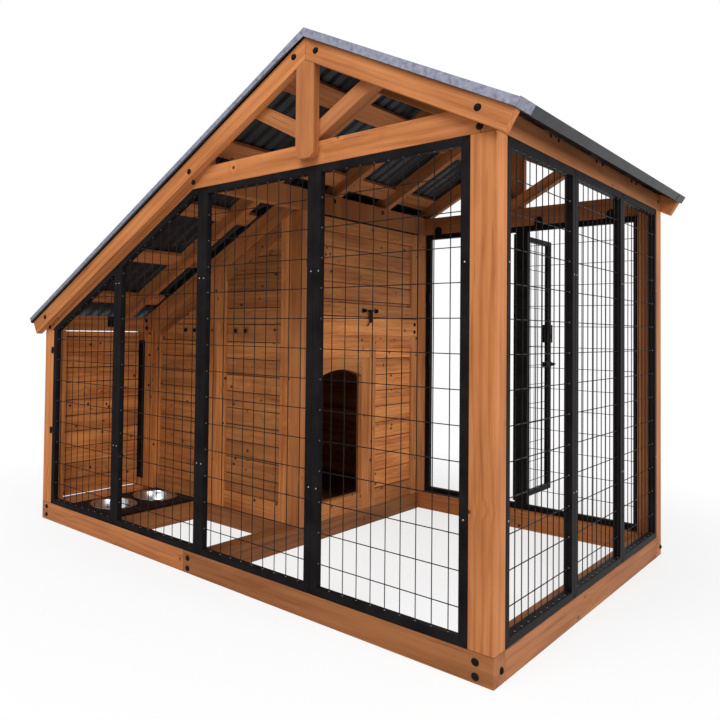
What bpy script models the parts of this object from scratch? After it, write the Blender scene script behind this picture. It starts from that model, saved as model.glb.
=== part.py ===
"""Wooden dog kennel: a mesh-walled run and a plank cabin under one unequal gable roof.

Metres, +Z up. The long front runs along X from the low eave to the high eave, and Y goes back
from the front. Sizes are measured from the low front corner of the base. The empty that carries
every piece moves the whole kennel so that the origin is the middle of its box, on the ground.
"""

import math

import bmesh
import bpy
from mathutils import Matrix, Vector

# Overall sizes
LENGTH = 2.296
DEPTH = 1.766
HIGH_RUN = 0.636
RUN_WIDTH = 1.122
RIDGE_HEIGHT = 1.974
PITCH = math.radians(29.5)
GAP = 0.0003
ROD_SIDES = 12

# Base and posts
POST = 0.075
SILL_HEIGHT = 0.087
SILL_WIDTH = 0.075
FRONT_SILL_JOINT = 1.056

# Roof timber
RAFTER_DEPTH = 0.068
RAFTER_THICK = 0.035
LOW_TAIL = 0.068
HIGH_TAIL = 0.066
BACKING_THICK = 0.040
BACKING_SHOWS = 0.030
INNER_RAFTER_THICK = 0.040
INNER_RAFTER_COUNT = 3
INNER_RAFTER_SPACING = 0.447
NOGGING_THICK = 0.020
NOGGING_DEPTH = 0.064
NOGGING_TOP_DROP = 0.002
NOGGING_PITCH = 0.380
NOGGING_START = 0.202
NOGGING_SEAT = 0.004
TIE_HEIGHT = 0.081
TIE_THICK = 0.045
TIE_END_RUN = 0.090
REAR_TIE_DROP = 0.010
KING_WIDTH = 0.075
KING_FOOT_RISE = 0.021
KING_CHAMFER = 0.015
BRACE_WIDTH = 0.053
BRACE_PITCH = math.radians(30)
BRACE_RISE = 0.013
BRACE_TOP_DROP = 0.030
LOW_HEADER_THICK = 0.040
LOW_HEADER_HEIGHT = 0.080
MIDDLE_HEADER_THICK = 0.040
MIDDLE_HEADER_HEIGHT = 0.095
HIGH_HEADER_THICK = 0.046
HIGH_HEADER_HEIGHT = 0.073

# Roof metal
SHEET_THICK = 0.002
ROOF_LIP = 0.003
RAKE_REACH = 0.010
RAKE_RISE = 0.021
RAKE_WIDTH = 0.032
RIB_PITCH = 0.066
RIB_BASE = 0.030
RIB_TOP = 0.014
RIB_HEIGHT = 0.012
EAVE_DROP = 0.004
EAVE_RISE = 0.027
RIDGE_CAP_WING = 0.130

# Cabin
CABIN_FRONT_Y = 0.602
CABIN_POST = 0.065
FRONT_WALL_SETBACK = 0.010
FRONT_WALL_THICK = 0.028
SIDE_WALL_SETBACK = 0.005
SIDE_WALL_THICK = 0.030
CROSS_SILL_SETBACK = 0.009
REAR_POST_FROM_BACK = 0.113
WALL_PLATE_DROP = 0.038
WALL_PLATE_HEIGHT = 0.100
WALL_PLATE_THICK = 0.040
STILE = 0.066
FIELD_DEPTH = 0.010
FRONT_FIELD_JOINT = 0.626
FIELD_LOW_RAIL = 0.084
FLOOR_THICK = 0.018
THRESHOLD_TOP = 0.171
MIDDLE_RAIL_HIGH = 1.046
DOORWAY_JAMB = 0.072
DOORWAY_WIDTH = 0.366
DOORWAY_SPRING = 0.751
DOORWAY_RISE = 0.038
DOORWAY_ARC_STEPS = 10
SIDE_FIELD_LEFT = 1.232
SIDE_STILE = 0.057
SIDE_FIELD_TOP = 0.892
END_WALL_THICK = 0.028
END_WALL_SETBACK = 0.002
BACK_WALL_TOP_DROP = 0.006
TOP_RAIL_DROP = 0.067
FRONT_STUD = 0.050

# Cabin hatch with its top hinge and its hasp
HATCH_CLEARANCE = 0.004
HATCH_BARREL_SPACE = 0.009
HATCH_LOW_RAIL = 0.062
HATCH_KNUCKLE = 0.060
HATCH_HINGE_RADIUS = 0.0035
HATCH_PIN_RADIUS = 0.0016
HASP_Y = 1.165
HASP_ROD_RISE = 0.030
HASP_ROD_SPAN = 0.120
HASP_EAR = 0.009
HASP_ROD_RADIUS = 0.003
HASP_STAND_OFF = 0.012
HASP_WIDTH = 0.028
HASP_THICK = 0.003
HASP_LENGTH = 0.060
CLIP_LENGTH = 0.034

# Feeding door in the low end
FEED_LEAF_THICK = 0.028
FEED_LEAF_LOW = 0.095
FEED_LEAF_CLEARANCE = 0.003
FEED_TOP_GAP = 0.005
FEED_PLATE_THICK = 0.002
FEED_PLATE_LOW = 0.132
FEED_PLATE_TOP_DROP = 0.0507
FEED_HINGE_RADIUS = 0.005
FEED_PIN_RADIUS = 0.0022
FEED_KNUCKLE_LENGTH = 0.060
FEED_HINGE_STAND = 0.0009

# Feeding bay
BAY_SILL_RIGHT = 0.530
TRAY_LEFT = 0.180
TRAY_RIGHT = 0.508
TRAY_THICK = 0.010
TRAY_SKIRT = 0.028
TRAY_SKIRT_THICK = 0.003
BOWL_X = 0.318
BOWL_Y = (0.213, 0.483)
BOWL_RADIUS = 0.118
BOWL_HOLE_RADIUS = 0.109
BOWL_BASE_RADIUS = 0.088
BOWL_DEPTH = 0.062
BOWL_WALL = 0.0015
BOWL_RIM = 0.003
ROUND_STEPS = 24
WELD_DISTANCE = 0.00005

# Mesh panels
TUBE = 0.027
NET_INSET = 0.008
NET_EDGE = 0.009
WIRE = 0.0035
NET_GAP_WIDTH = 0.127
NET_GAP_HEIGHT = 0.203
FRONT_PANEL_FIRST = 0.519
WIDE_PANEL_COUNT = 3
SIDE_PANEL_FIRST = 0.565
SIDE_PANEL_SECOND = 0.543

# Rear door, its hinges and its bolt
DOOR_FRAME_WIDTH = 0.525
LEAF_TUBE = 0.025
LEAF_CLEARANCE = 0.003
HINGE_SIDE_INSET = 0.0035
HINGE_FACE_OFFSET = 0.006
HINGE_RADIUS = 0.0055
HINGE_PIN_RADIUS = 0.0026
HINGE_LENGTH = 0.090
HINGE_KNUCKLE = 0.030
HINGE_PLATE_BACK = 0.0015
HINGE_BRIDGE_LAP = 0.0013
HINGE_HEIGHTS = (0.300, 1.300)
KNUCKLE_PLAY = 0.0004
KNUCKLE_MARGIN = 0.0012
BORE_PLAY = 0.0004
STRAP_REACH = 0.030
STRAP_THICK = 0.004
LOCK_HEIGHT = 0.100
LOCK_LOW = 0.930
LOCK_WIDTH = 0.045
LOCK_PROUD = 0.008
BOLT_Z = 0.810
BOLT_RADIUS = 0.005
BOLT_LENGTH = 0.150
BOLT_PROJECTION = 0.030
BOLT_OFFSET = 0.009
BOLT_LUG = 0.012
BOLT_LUG_FIRST = 0.010
BOLT_LUG_SECOND = 0.108
BOLT_KNOB_LENGTH = 0.008
BOLT_KNOB_PLACE = 0.034
BOLT_PLATE_THICK = 0.003
BOLT_PLATE_HEIGHT = 0.028

# Derived places
RIDGE_X = LENGTH - HIGH_RUN
CABIN_SIDE_X = LENGTH - RUN_WIDTH
RAFTER_DROP = RAFTER_DEPTH / math.cos(PITCH)
LOW_EAVE = RIDGE_HEIGHT - RAFTER_DROP - RIDGE_X * math.tan(PITCH)
HIGH_EAVE = RIDGE_HEIGHT - RAFTER_DROP - (LENGTH - RIDGE_X) * math.tan(PITCH)
BACKING_DROP = RAFTER_DROP + BACKING_SHOWS
REAR_TIE_LOW = HIGH_EAVE - REAR_TIE_DROP
RAFTER_OVER_CABIN = RIDGE_HEIGHT - RAFTER_DROP - (RIDGE_X - CABIN_SIDE_X) * math.tan(PITCH)
MIDDLE_HEADER_LOW = RAFTER_OVER_CABIN - MIDDLE_HEADER_HEIGHT
SIDE_WALL_FACE = CABIN_SIDE_X - SIDE_WALL_SETBACK
FRONT_WALL_FACE = CABIN_FRONT_Y + FRONT_WALL_SETBACK
REAR_POST_FRONT = DEPTH - REAR_POST_FROM_BACK
DOORWAY_LEFT = CABIN_FRONT_Y + CABIN_POST + DOORWAY_JAMB
TRAY_TOP = SILL_HEIGHT + GAP + TRAY_THICK
FEED_PLATE_HIGH = LOW_EAVE - FEED_PLATE_TOP_DROP
HATCH_LOW = MIDDLE_RAIL_HIGH + HATCH_CLEARANCE
HASP_ROD_HEIGHT = HATCH_LOW + HASP_ROD_RISE

# Roof edges, hatch and its axis
ROOF_Y = (-RAFTER_THICK - RAKE_REACH, DEPTH + RAFTER_THICK + RAKE_REACH)
RAKE_TOP = GAP + SHEET_THICK + RAKE_RISE
HATCH_Y = (CABIN_FRONT_Y + CABIN_POST + HATCH_CLEARANCE, REAR_POST_FRONT - HATCH_CLEARANCE)
HATCH_AXIS = (SIDE_WALL_FACE, (HATCH_Y[0] + HATCH_Y[1]) / 2, MIDDLE_HEADER_LOW - HATCH_BARREL_SPACE / 2)
HATCH_HALF = (HATCH_Y[1] - HATCH_Y[0]) / 2 - HATCH_CLEARANCE

# Door opening and its hinge axis
FRAME_X = (CABIN_SIDE_X + GAP, CABIN_SIDE_X + DOOR_FRAME_WIDTH)
FRAME_Z = (SILL_HEIGHT + GAP, REAR_TIE_LOW - GAP)
OPENING_X = (FRAME_X[0] + TUBE, FRAME_X[1] - TUBE)
OPENING_Z = (FRAME_Z[0] + TUBE, FRAME_Z[1] - TUBE)
LEAF_WIDTH = OPENING_X[1] - OPENING_X[0] - 2 * LEAF_CLEARANCE
LEAF_EDGE = HINGE_SIDE_INSET + LEAF_CLEARANCE
HINGE_X = OPENING_X[1] + HINGE_SIDE_INSET
HINGE_Y = DEPTH + HINGE_FACE_OFFSET

# Colours, linear, with roughness and metallic values
FINISHES = {
    "stained_softwood": ((0.47, 0.19, 0.07), 0.62, 0.0),
    "bright_softwood": ((0.56, 0.25, 0.10), 0.60, 0.0),
    "black_powder_coat": ((0.012, 0.012, 0.014), 0.45, 0.6),
    "roof_steel": ((0.10, 0.11, 0.13), 0.40, 0.8),
    "stainless_steel": ((0.62, 0.62, 0.62), 0.22, 1.0),
}

FLAT = (0.0, 0.0, 0.0)
FACING_Y = (math.pi / 2, 0.0, 0.0)
FACING_X = (math.pi / 2, 0.0, math.pi / 2)

for old in list(bpy.data.objects):
    bpy.data.objects.remove(old, do_unlink=True)

parts = bpy.data.collections.new("animal_enclosure")
cutters = bpy.data.collections.new("cutters")
bpy.context.scene.collection.children.link(parts)
bpy.context.scene.collection.children.link(cutters)


def make_material(name):
    colour, roughness, metallic = FINISHES[name]
    material = bpy.data.materials.new(name)
    material.use_nodes = True
    shader = material.node_tree.nodes["Principled BSDF"]
    shader.inputs["Base Color"].default_value = (*colour, 1.0)
    shader.inputs["Roughness"].default_value = roughness
    shader.inputs["Metallic"].default_value = metallic
    return material


materials = {name: make_material(name) for name in FINISHES}


def slope_at(x, drop=0.0):
    """Height over x of the line that lies a vertical drop below the tops of the rafters."""
    return RIDGE_HEIGHT - drop - abs(x - RIDGE_X) * math.tan(PITCH)


def slope_x(height, drop, side):
    """Where that line reaches a height, on the low side (-1) or the high side (1) of the ridge."""
    return RIDGE_X + side * (RIDGE_HEIGHT - drop - height) / math.tan(PITCH)


def new_empty(name, location, parent=None, turn=0.0):
    """An empty on a joint's axis, or the root that carries the kennel."""
    empty = bpy.data.objects.new(name, None)
    parts.objects.link(empty)
    empty.parent = parent
    empty.location = location
    empty.rotation_euler = (0.0, 0.0, turn)
    return empty


def settle(obj, parent, location, facing):
    obj.parent = parent or root
    obj.location = location
    obj.rotation_euler = facing
    return obj


def piece(name, mesh, finish, location=FLAT, facing=FLAT, parent=None):
    """A named sub-part of the kennel with its own finish."""
    mesh.materials.append(materials[finish])
    obj = bpy.data.objects.new(name, mesh)
    parts.objects.link(obj)
    return settle(obj, parent, location, facing)


def tool(mesh, location=FLAT, facing=FLAT, parent=None):
    """A helper solid for a Boolean, kept out of the render."""
    obj = bpy.data.objects.new(mesh.name, mesh)
    cutters.objects.link(obj)
    obj.hide_render = True
    obj.display_type = "WIRE"
    return settle(obj, parent, location, facing)


def combine(obj, operation, helper):
    modifier = obj.modifiers.new(helper.name, "BOOLEAN")
    modifier.operation = operation
    modifier.solver = "EXACT"
    modifier.object = helper
    return obj


def finish_mesh(shape, name):
    bmesh.ops.recalc_face_normals(shape, faces=shape.faces)
    mesh = bpy.data.meshes.new(name)
    shape.to_mesh(mesh)
    shape.free()
    return mesh


def boxes_mesh(name, *boxes):
    """One mesh of boxes, each a triple of (low, high) spans along X, Y and Z."""
    shape = bmesh.new()
    for spans in boxes:
        centre = Vector([(low + high) / 2 for low, high in spans])
        size = Matrix.Diagonal([high - low for low, high in spans]).to_4x4()
        bmesh.ops.create_cube(shape, size=1.0, matrix=Matrix.Translation(centre) @ size)
    return finish_mesh(shape, name)


def box_piece(name, finish, x, y, z, parent=None):
    """A box-shaped piece with its origin at its own middle."""
    middle = [(low + high) / 2 for low, high in (x, y, z)]
    half = [(high - low) / 2 for low, high in (x, y, z)]
    mesh = boxes_mesh(name, *[[(-reach, reach) for reach in half]])
    return piece(name, mesh, finish, middle, FLAT, parent)


def plate_mesh(name, outline, thickness):
    """A flat outline filled on both sides and extruded, as a welded mesh about its own plane."""
    curve = bpy.data.curves.new(name, "CURVE")
    curve.dimensions = "2D"
    curve.fill_mode = "BOTH"
    curve.extrude = thickness / 2
    spline = curve.splines.new("POLY")
    spline.points.add(len(outline) - 1)
    for point, (u, v) in zip(spline.points, outline):
        point.co = (u, v, 0.0, 1.0)
    spline.use_cyclic_u = True
    drawn = bpy.data.objects.new(name, curve)
    cutters.objects.link(drawn)
    graph = bpy.context.evaluated_depsgraph_get()
    filled = bpy.data.meshes.new_from_object(drawn.evaluated_get(graph), depsgraph=graph)
    shape = bmesh.new()
    shape.from_mesh(filled)
    bmesh.ops.remove_doubles(shape, verts=shape.verts, dist=WELD_DISTANCE)
    bpy.data.objects.remove(drawn)
    bpy.data.curves.remove(curve)
    bpy.data.meshes.remove(filled)
    return finish_mesh(shape, name)


def plate_place(facing, across):
    """Location of a plate whose thickness fills a span along the way it faces."""
    middle = (across[0] + across[1]) / 2
    return {FLAT: (0, 0, middle), FACING_Y: (0, middle, 0), FACING_X: (middle, 0, 0)}[facing]


def plate_piece(name, finish, outline, facing, across, parent=None):
    mesh = plate_mesh(name, outline, across[1] - across[0])
    return piece(name, mesh, finish, plate_place(facing, across), facing, parent)


def plate_tool(name, outline, facing, across, parent=None):
    mesh = plate_mesh(name, outline, across[1] - across[0])
    return tool(mesh, plate_place(facing, across), facing, parent)


def rod_mesh(name, radius, start, end, sides=ROD_SIDES):
    """A round rod between two points."""
    start = Vector(start)
    run = Vector(end) - start
    place = Matrix.Translation(start + run / 2) @ run.to_track_quat("Z", "Y").to_matrix().to_4x4()
    shape = bmesh.new()
    bmesh.ops.create_cone(
        shape, cap_ends=True, segments=sides, radius1=radius, radius2=radius, depth=run.length, matrix=place
    )
    return finish_mesh(shape, name)


def rectangle(u, v):
    return [(u[0], v[0]), (u[1], v[0]), (u[1], v[1]), (u[0], v[1])]


def inset(outline, distance):
    """A convex outline, given anticlockwise, with every side moved inwards."""
    moved = []
    for index, corner in enumerate(outline):
        corner = Vector(corner)
        before = (corner - Vector(outline[index - 1])).normalized()
        after = (Vector(outline[(index + 1) % len(outline)]) - corner).normalized()
        normals = Vector((-before.y, before.x)), Vector((-after.y, after.x))
        bisector = (normals[0] + normals[1]) / (1 + normals[0].dot(normals[1]))
        moved.append(tuple(corner + bisector * distance))
    return moved


def along(axis, place, distance):
    """A point moved along a named axis."""
    moved = list(place)
    moved["XYZ".index(axis)] += distance
    return moved


def add_fixed_knuckles(obj, axis, place, half_length, end_length, radius, pin_radius, parent=None):
    """A hinge's pin and its two end knuckles, joined to the piece that carries them."""
    for side in (-1, 1):
        outer = along(axis, place, side * half_length)
        inner = along(axis, place, side * (half_length - end_length))
        combine(obj, "UNION", tool(rod_mesh(obj.name + "_knuckle", radius, inner, outer), parent=parent))
    reach = half_length - end_length / 2
    ends = along(axis, place, -reach), along(axis, place, reach)
    combine(obj, "UNION", tool(rod_mesh(obj.name + "_pin", pin_radius, *ends), parent=parent))


def add_moving_knuckle(obj, axis, place, half_length, end_length, radius, pin_radius, parent=None):
    """The middle knuckle, joined to the moving piece and bored to run on the pin."""
    reach = half_length - end_length - KNUCKLE_PLAY
    ends = along(axis, place, -reach), along(axis, place, reach)
    combine(obj, "UNION", tool(rod_mesh(obj.name + "_knuckle", radius, *ends), parent=parent))
    through = along(axis, place, -half_length), along(axis, place, half_length)
    bore = rod_mesh(obj.name + "_bore", pin_radius + BORE_PLAY, *through)
    combine(obj, "DIFFERENCE", tool(bore, parent=parent))


def sheet_end(side):
    """Length of a roof sheet down its slope, from the ridge."""
    overhang = HIGH_TAIL + LENGTH - RIDGE_X if side > 0 else LOW_TAIL + RIDGE_X
    return overhang / math.cos(PITCH) + ROOF_LIP


def kennel_root():
    """The empty that carries every piece, placed so that the kennel's box is centred on the origin."""
    corner = (EAVE_RISE + GAP) * math.sin(PITCH) + SHEET_THICK / 2 * math.cos(PITCH)
    left = RIDGE_X - sheet_end(-1) * math.cos(PITCH) - corner
    right = RIDGE_X + sheet_end(1) * math.cos(PITCH) + corner
    leaf_end = HINGE_Y + LEAF_EDGE + LEAF_WIDTH + BOLT_PROJECTION
    return new_empty("kennel", (-(left + right) / 2, -(ROOF_Y[0] + max(ROOF_Y[1], leaf_end)) / 2, 0.0))


root = kennel_root()


def base_frame():
    """Sills laid flat on the ground: the outer ring, the two under the cabin and the feeding bay's."""
    wood = "stained_softwood"
    height = (0.0, SILL_HEIGHT)
    front, back = (0.0, SILL_WIDTH), (DEPTH - SILL_WIDTH, DEPTH)
    between = (SILL_WIDTH + GAP, DEPTH - SILL_WIDTH - GAP)
    cross = (CABIN_SIDE_X - CROSS_SILL_SETBACK - SILL_WIDTH, CABIN_SIDE_X - CROSS_SILL_SETBACK)
    box_piece("sill_front_left", wood, (0.0, FRONT_SILL_JOINT - GAP), front, height)
    box_piece("sill_front_right", wood, (FRONT_SILL_JOINT, LENGTH), front, height)
    box_piece("sill_rear", wood, (0.0, LENGTH), back, height)
    box_piece("sill_left_end", wood, (0.0, SILL_WIDTH), between, height)
    box_piece("sill_right_end", wood, (LENGTH - SILL_WIDTH, LENGTH), between, height)
    box_piece("sill_cabin_side", wood, cross, between, height)
    under_wall = (CABIN_FRONT_Y, CABIN_FRONT_Y + SILL_WIDTH)
    box_piece("sill_cabin_front", wood, (SILL_WIDTH + GAP, cross[0] - GAP), under_wall, height)
    bay = (BAY_SILL_RIGHT - SILL_WIDTH, BAY_SILL_RIGHT)
    box_piece("sill_bowl_bay", wood, bay, (SILL_WIDTH + GAP, CABIN_FRONT_Y - GAP), height)


def posts():
    wood = "stained_softwood"
    foot = SILL_HEIGHT + GAP
    low, high = (0.0, POST), (LENGTH - POST, LENGTH)
    front, back = (0.0, POST), (DEPTH - POST, DEPTH)
    box_piece("post_front_left", wood, low, front, (foot, LOW_EAVE))
    box_piece("post_front_right", wood, high, front, (foot, HIGH_EAVE))
    box_piece("post_rear_left", wood, low, back, (foot, LOW_EAVE))
    box_piece("post_rear_right", wood, high, back, (foot, HIGH_EAVE))
    middle = (CABIN_FRONT_Y, CABIN_FRONT_Y + POST)
    box_piece("post_end_wall", wood, low, middle, (foot, LOW_EAVE))
    cabin = (CABIN_SIDE_X - CABIN_POST, CABIN_SIDE_X)
    corner_top = min(MIDDLE_HEADER_LOW, slope_at(cabin[0], WALL_PLATE_DROP + WALL_PLATE_HEIGHT)) - GAP
    corner = (CABIN_FRONT_Y, CABIN_FRONT_Y + CABIN_POST)
    box_piece("post_cabin_corner", wood, cabin, corner, (foot, corner_top))
    rear_top = min(MIDDLE_HEADER_LOW, REAR_TIE_LOW) - GAP
    box_piece("post_cabin_rear", wood, cabin, (REAR_POST_FRONT, DEPTH), (foot, rear_top))


def outer_rafter(name, side, across):
    """A rafter outside the post plane: plumb joint at the ridge, tail cut square to the slope."""
    joint = RIDGE_X + side * GAP / 2
    tail = LENGTH + HIGH_TAIL if side > 0 else -LOW_TAIL
    under = (tail - side * RAFTER_DEPTH * math.sin(PITCH), slope_at(tail) - RAFTER_DEPTH * math.cos(PITCH))
    outline = [(joint, slope_at(joint, RAFTER_DROP)), under, (tail, slope_at(tail)), (joint, slope_at(joint))]
    return plate_piece(name, "bright_softwood", outline, FACING_Y, across)


def king_post(name, across):
    low = HIGH_EAVE + KING_FOOT_RISE
    half = KING_WIDTH / 2
    left, right = RIDGE_X - half, RIDGE_X + half
    side_top = slope_at(left, RAFTER_DROP) - 2 * GAP
    outline = [
        (left + KING_CHAMFER, low),
        (right - KING_CHAMFER, low),
        (right, low + KING_CHAMFER),
        (right, side_top),
        (RIDGE_X, slope_at(RIDGE_X, RAFTER_DROP) - 2 * GAP),
        (left, side_top),
        (left, low + KING_CHAMFER),
    ]
    return plate_piece(name, "bright_softwood", outline, FACING_Y, across)


def brace_outline(side, start):
    """A brace in the post plane, from behind the foot of the king post up behind the rafter."""
    seat = HIGH_EAVE + TIE_HEIGHT + GAP
    rise, fall = math.tan(BRACE_PITCH), math.tan(PITCH)
    at_king = seat + BRACE_RISE - KING_WIDTH / 2 * rise
    tall = BRACE_WIDTH / math.cos(BRACE_PITCH)
    toe = max(GAP, (seat - at_king) / rise)
    top = RIDGE_HEIGHT - BRACE_TOP_DROP
    far, near = (top - at_king) / (rise + fall), (top - at_king - tall) / (rise + fall)
    reach = [(start, seat), (toe, seat), (far, top - far * fall), (near, top - near * fall)]
    reach.append((start, at_king + tall + start * rise))
    return [(RIDGE_X + side * run, height) for run, height in reach]


def front_truss():
    proud, plane = (-RAFTER_THICK, -GAP), (0.0, TIE_THICK)
    outer_rafter("rafter_front_left", -1, proud)
    outer_rafter("rafter_front_right", 1, proud)
    king_post("king_post_front", proud)
    for name, side in (("brace_front_left", -1), ("brace_front_right", 1)):
        plate_piece(name, "bright_softwood", brace_outline(side, GAP / 2), FACING_Y, plane)
    seat = LOW_EAVE + GAP
    tip = slope_x(HIGH_EAVE, BACKING_DROP, -1)
    heel = tip + TIE_END_RUN
    tie_top = HIGH_EAVE + TIE_HEIGHT
    backing = [
        (0.0, seat),
        (slope_x(seat, BACKING_DROP, -1), seat),
        (tip, HIGH_EAVE),
        (heel, tie_top),
        (heel, slope_at(heel)),
        (0.0, slope_at(0.0)),
    ]
    plate_piece("rafter_front_backing", "bright_softwood", backing, FACING_Y, (0.0, BACKING_THICK))
    end = LENGTH - HIGH_HEADER_THICK - GAP
    low = HIGH_EAVE + GAP
    tie = [(tip + 2 * GAP, low), (end, low), (end, tie_top), (heel + 2 * GAP, tie_top)]
    plate_piece("tie_beam_front", "bright_softwood", tie, FACING_Y, plane)


def rear_truss():
    proud, plane = (DEPTH + GAP, DEPTH + RAFTER_THICK), (DEPTH - TIE_THICK, DEPTH)
    outer_rafter("rafter_rear_left", -1, proud)
    outer_rafter("rafter_rear_right", 1, proud)
    king_post("king_post_rear", proud)
    pair = brace_outline(-1, 0.0)[::-1] + brace_outline(1, 0.0)[1:-1]
    plate_piece("brace_pair_rear", "bright_softwood", pair, FACING_Y, plane)
    span = (CABIN_SIDE_X - CABIN_POST, LENGTH - POST - GAP)
    box_piece("tie_beam_rear", "bright_softwood", span, plane, (REAR_TIE_LOW, HIGH_EAVE + TIE_HEIGHT))


def headers():
    """Beams along the depth: on the low posts, over the cabin's side wall and on the high posts."""
    wood = "stained_softwood"
    low = (POST - LOW_HEADER_THICK, POST)
    low_z = (LOW_EAVE + GAP, LOW_EAVE + GAP + LOW_HEADER_HEIGHT)
    box_piece("header_low", wood, low, (BACKING_THICK + GAP, DEPTH), low_z)
    high_z = (HIGH_EAVE + GAP, HIGH_EAVE + GAP + HIGH_HEADER_HEIGHT)
    box_piece("header_high", wood, (LENGTH - HIGH_HEADER_THICK, LENGTH), (0.0, DEPTH), high_z)
    left, right = CABIN_SIDE_X - MIDDLE_HEADER_THICK, CABIN_SIDE_X
    outline = [
        (left, MIDDLE_HEADER_LOW),
        (right, MIDDLE_HEADER_LOW),
        (right, slope_at(right, RAFTER_DROP) - GAP),
        (left, slope_at(left, RAFTER_DROP) - GAP),
    ]
    across = (max(TIE_THICK, BACKING_THICK) + GAP, DEPTH - TIE_THICK - GAP)
    header = plate_piece("header_middle", wood, outline, FACING_Y, across)
    add_fixed_knuckles(header, "Y", HATCH_AXIS, HATCH_HALF, HATCH_KNUCKLE, HATCH_HINGE_RADIUS, HATCH_PIN_RADIUS)
    for side in (-1, 1):
        near = HATCH_AXIS[1] + side * (HATCH_HALF - HATCH_KNUCKLE + KNUCKLE_PLAY)
        far = HATCH_AXIS[1] + side * (HATCH_HALF - KNUCKLE_PLAY)
        half = HATCH_HINGE_RADIUS - KNUCKLE_PLAY
        x = (SIDE_WALL_FACE - half, SIDE_WALL_FACE + half)
        z = (HATCH_AXIS[2], MIDDLE_HEADER_LOW + HATCH_HINGE_RADIUS)
        plate = boxes_mesh("hatch_hinge_plate", (x, (min(near, far), max(near, far)), z))
        combine(header, "UNION", tool(plate))
    plate_outline = [
        (POST + GAP, slope_at(POST + GAP, WALL_PLATE_DROP + WALL_PLATE_HEIGHT)),
        (left - GAP, slope_at(left - GAP, WALL_PLATE_DROP + WALL_PLATE_HEIGHT)),
        (left - GAP, slope_at(left - GAP, WALL_PLATE_DROP)),
        (POST + GAP, slope_at(POST + GAP, WALL_PLATE_DROP)),
    ]
    across = (CABIN_FRONT_Y, CABIN_FRONT_Y + WALL_PLATE_THICK)
    plate_piece("cabin_wall_plate", wood, plate_outline, FACING_Y, across)


def nogging_stations(side):
    """Distances down the slope of the upper face of each nogging."""
    run = LENGTH - HIGH_HEADER_THICK - RIDGE_X if side > 0 else RIDGE_X - POST
    room = run / math.cos(PITCH) - NOGGING_START - RAFTER_DEPTH
    return [NOGGING_START + index * NOGGING_PITCH for index in range(int(room / NOGGING_PITCH) + 1)]


def over_cabin(side, station):
    """Whether the wall plate of the cabin crosses below a nogging."""
    lower_face = RIDGE_X - (station + NOGGING_THICK) * math.cos(PITCH)
    return side < 0 and lower_face < CABIN_SIDE_X - MIDDLE_HEADER_THICK


def add_noggings(rafter, spans):
    """Noggings square to the slope. spans gives the reach along Y for a side and a station, or None."""
    shape = bmesh.new()
    for side in (-1, 1):
        turn = Matrix.Rotation(side * PITCH, 4, "Y")
        for station in nogging_stations(side):
            span = spans(side, station)
            if span is None:
                continue
            down = side * (station + NOGGING_THICK / 2)
            below = -NOGGING_TOP_DROP - NOGGING_DEPTH / 2
            place = Vector((RIDGE_X, (span[0] + span[1]) / 2, RIDGE_HEIGHT)) + turn @ Vector((down, 0, below))
            size = Matrix.Diagonal((NOGGING_THICK, span[1] - span[0], NOGGING_DEPTH)).to_4x4()
            bmesh.ops.create_cube(shape, size=1.0, matrix=Matrix.Translation(place) @ turn @ size)
    combine(rafter, "UNION", tool(finish_mesh(shape, rafter.name + "_noggings")))


def inner_rafters():
    """Rafter pairs between the gables, each with the noggings of the bay in front of it."""
    start, end = POST + GAP, LENGTH - HIGH_HEADER_THICK - GAP
    outline = [
        (start, slope_at(start, RAFTER_DROP)),
        (RIDGE_X, slope_at(RIDGE_X, RAFTER_DROP)),
        (end, slope_at(end, RAFTER_DROP)),
        (end, slope_at(end)),
        (RIDGE_X, slope_at(RIDGE_X)),
        (start, slope_at(start)),
    ]
    plate = (CABIN_FRONT_Y, CABIN_FRONT_Y + WALL_PLATE_THICK)
    spacing = INNER_RAFTER_SPACING
    half = INNER_RAFTER_THICK / 2
    for number in range(1, INNER_RAFTER_COUNT + 1):
        middle = DEPTH / 2 + (number - (INNER_RAFTER_COUNT + 1) / 2) * spacing
        faces = (middle - half, middle + half)
        rafter = plate_piece(f"rafter_inner_{number}", "stained_softwood", outline, FACING_Y, faces)
        before = TIE_THICK if number == 1 else faces[0] - spacing + INNER_RAFTER_THICK
        after = faces[1] + spacing - INNER_RAFTER_THICK

        def front_span(side, station, before=before, faces=faces):
            cut = over_cabin(side, station) and before < plate[0] < faces[0]
            return ((plate[1] if cut else before) + GAP, faces[0] + NOGGING_SEAT)

        def back_span(side, station, after=after, faces=faces, number=number):
            if number == INNER_RAFTER_COUNT:
                return (faces[1] - NOGGING_SEAT, DEPTH - TIE_THICK - GAP)
            if over_cabin(side, station) and faces[1] < plate[0] < after:
                return (faces[1] - NOGGING_SEAT, plate[0] - GAP)
            return None

        add_noggings(rafter, front_span)
        if number == INNER_RAFTER_COUNT or faces[1] < plate[0] < after:
            add_noggings(rafter, back_span)


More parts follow.
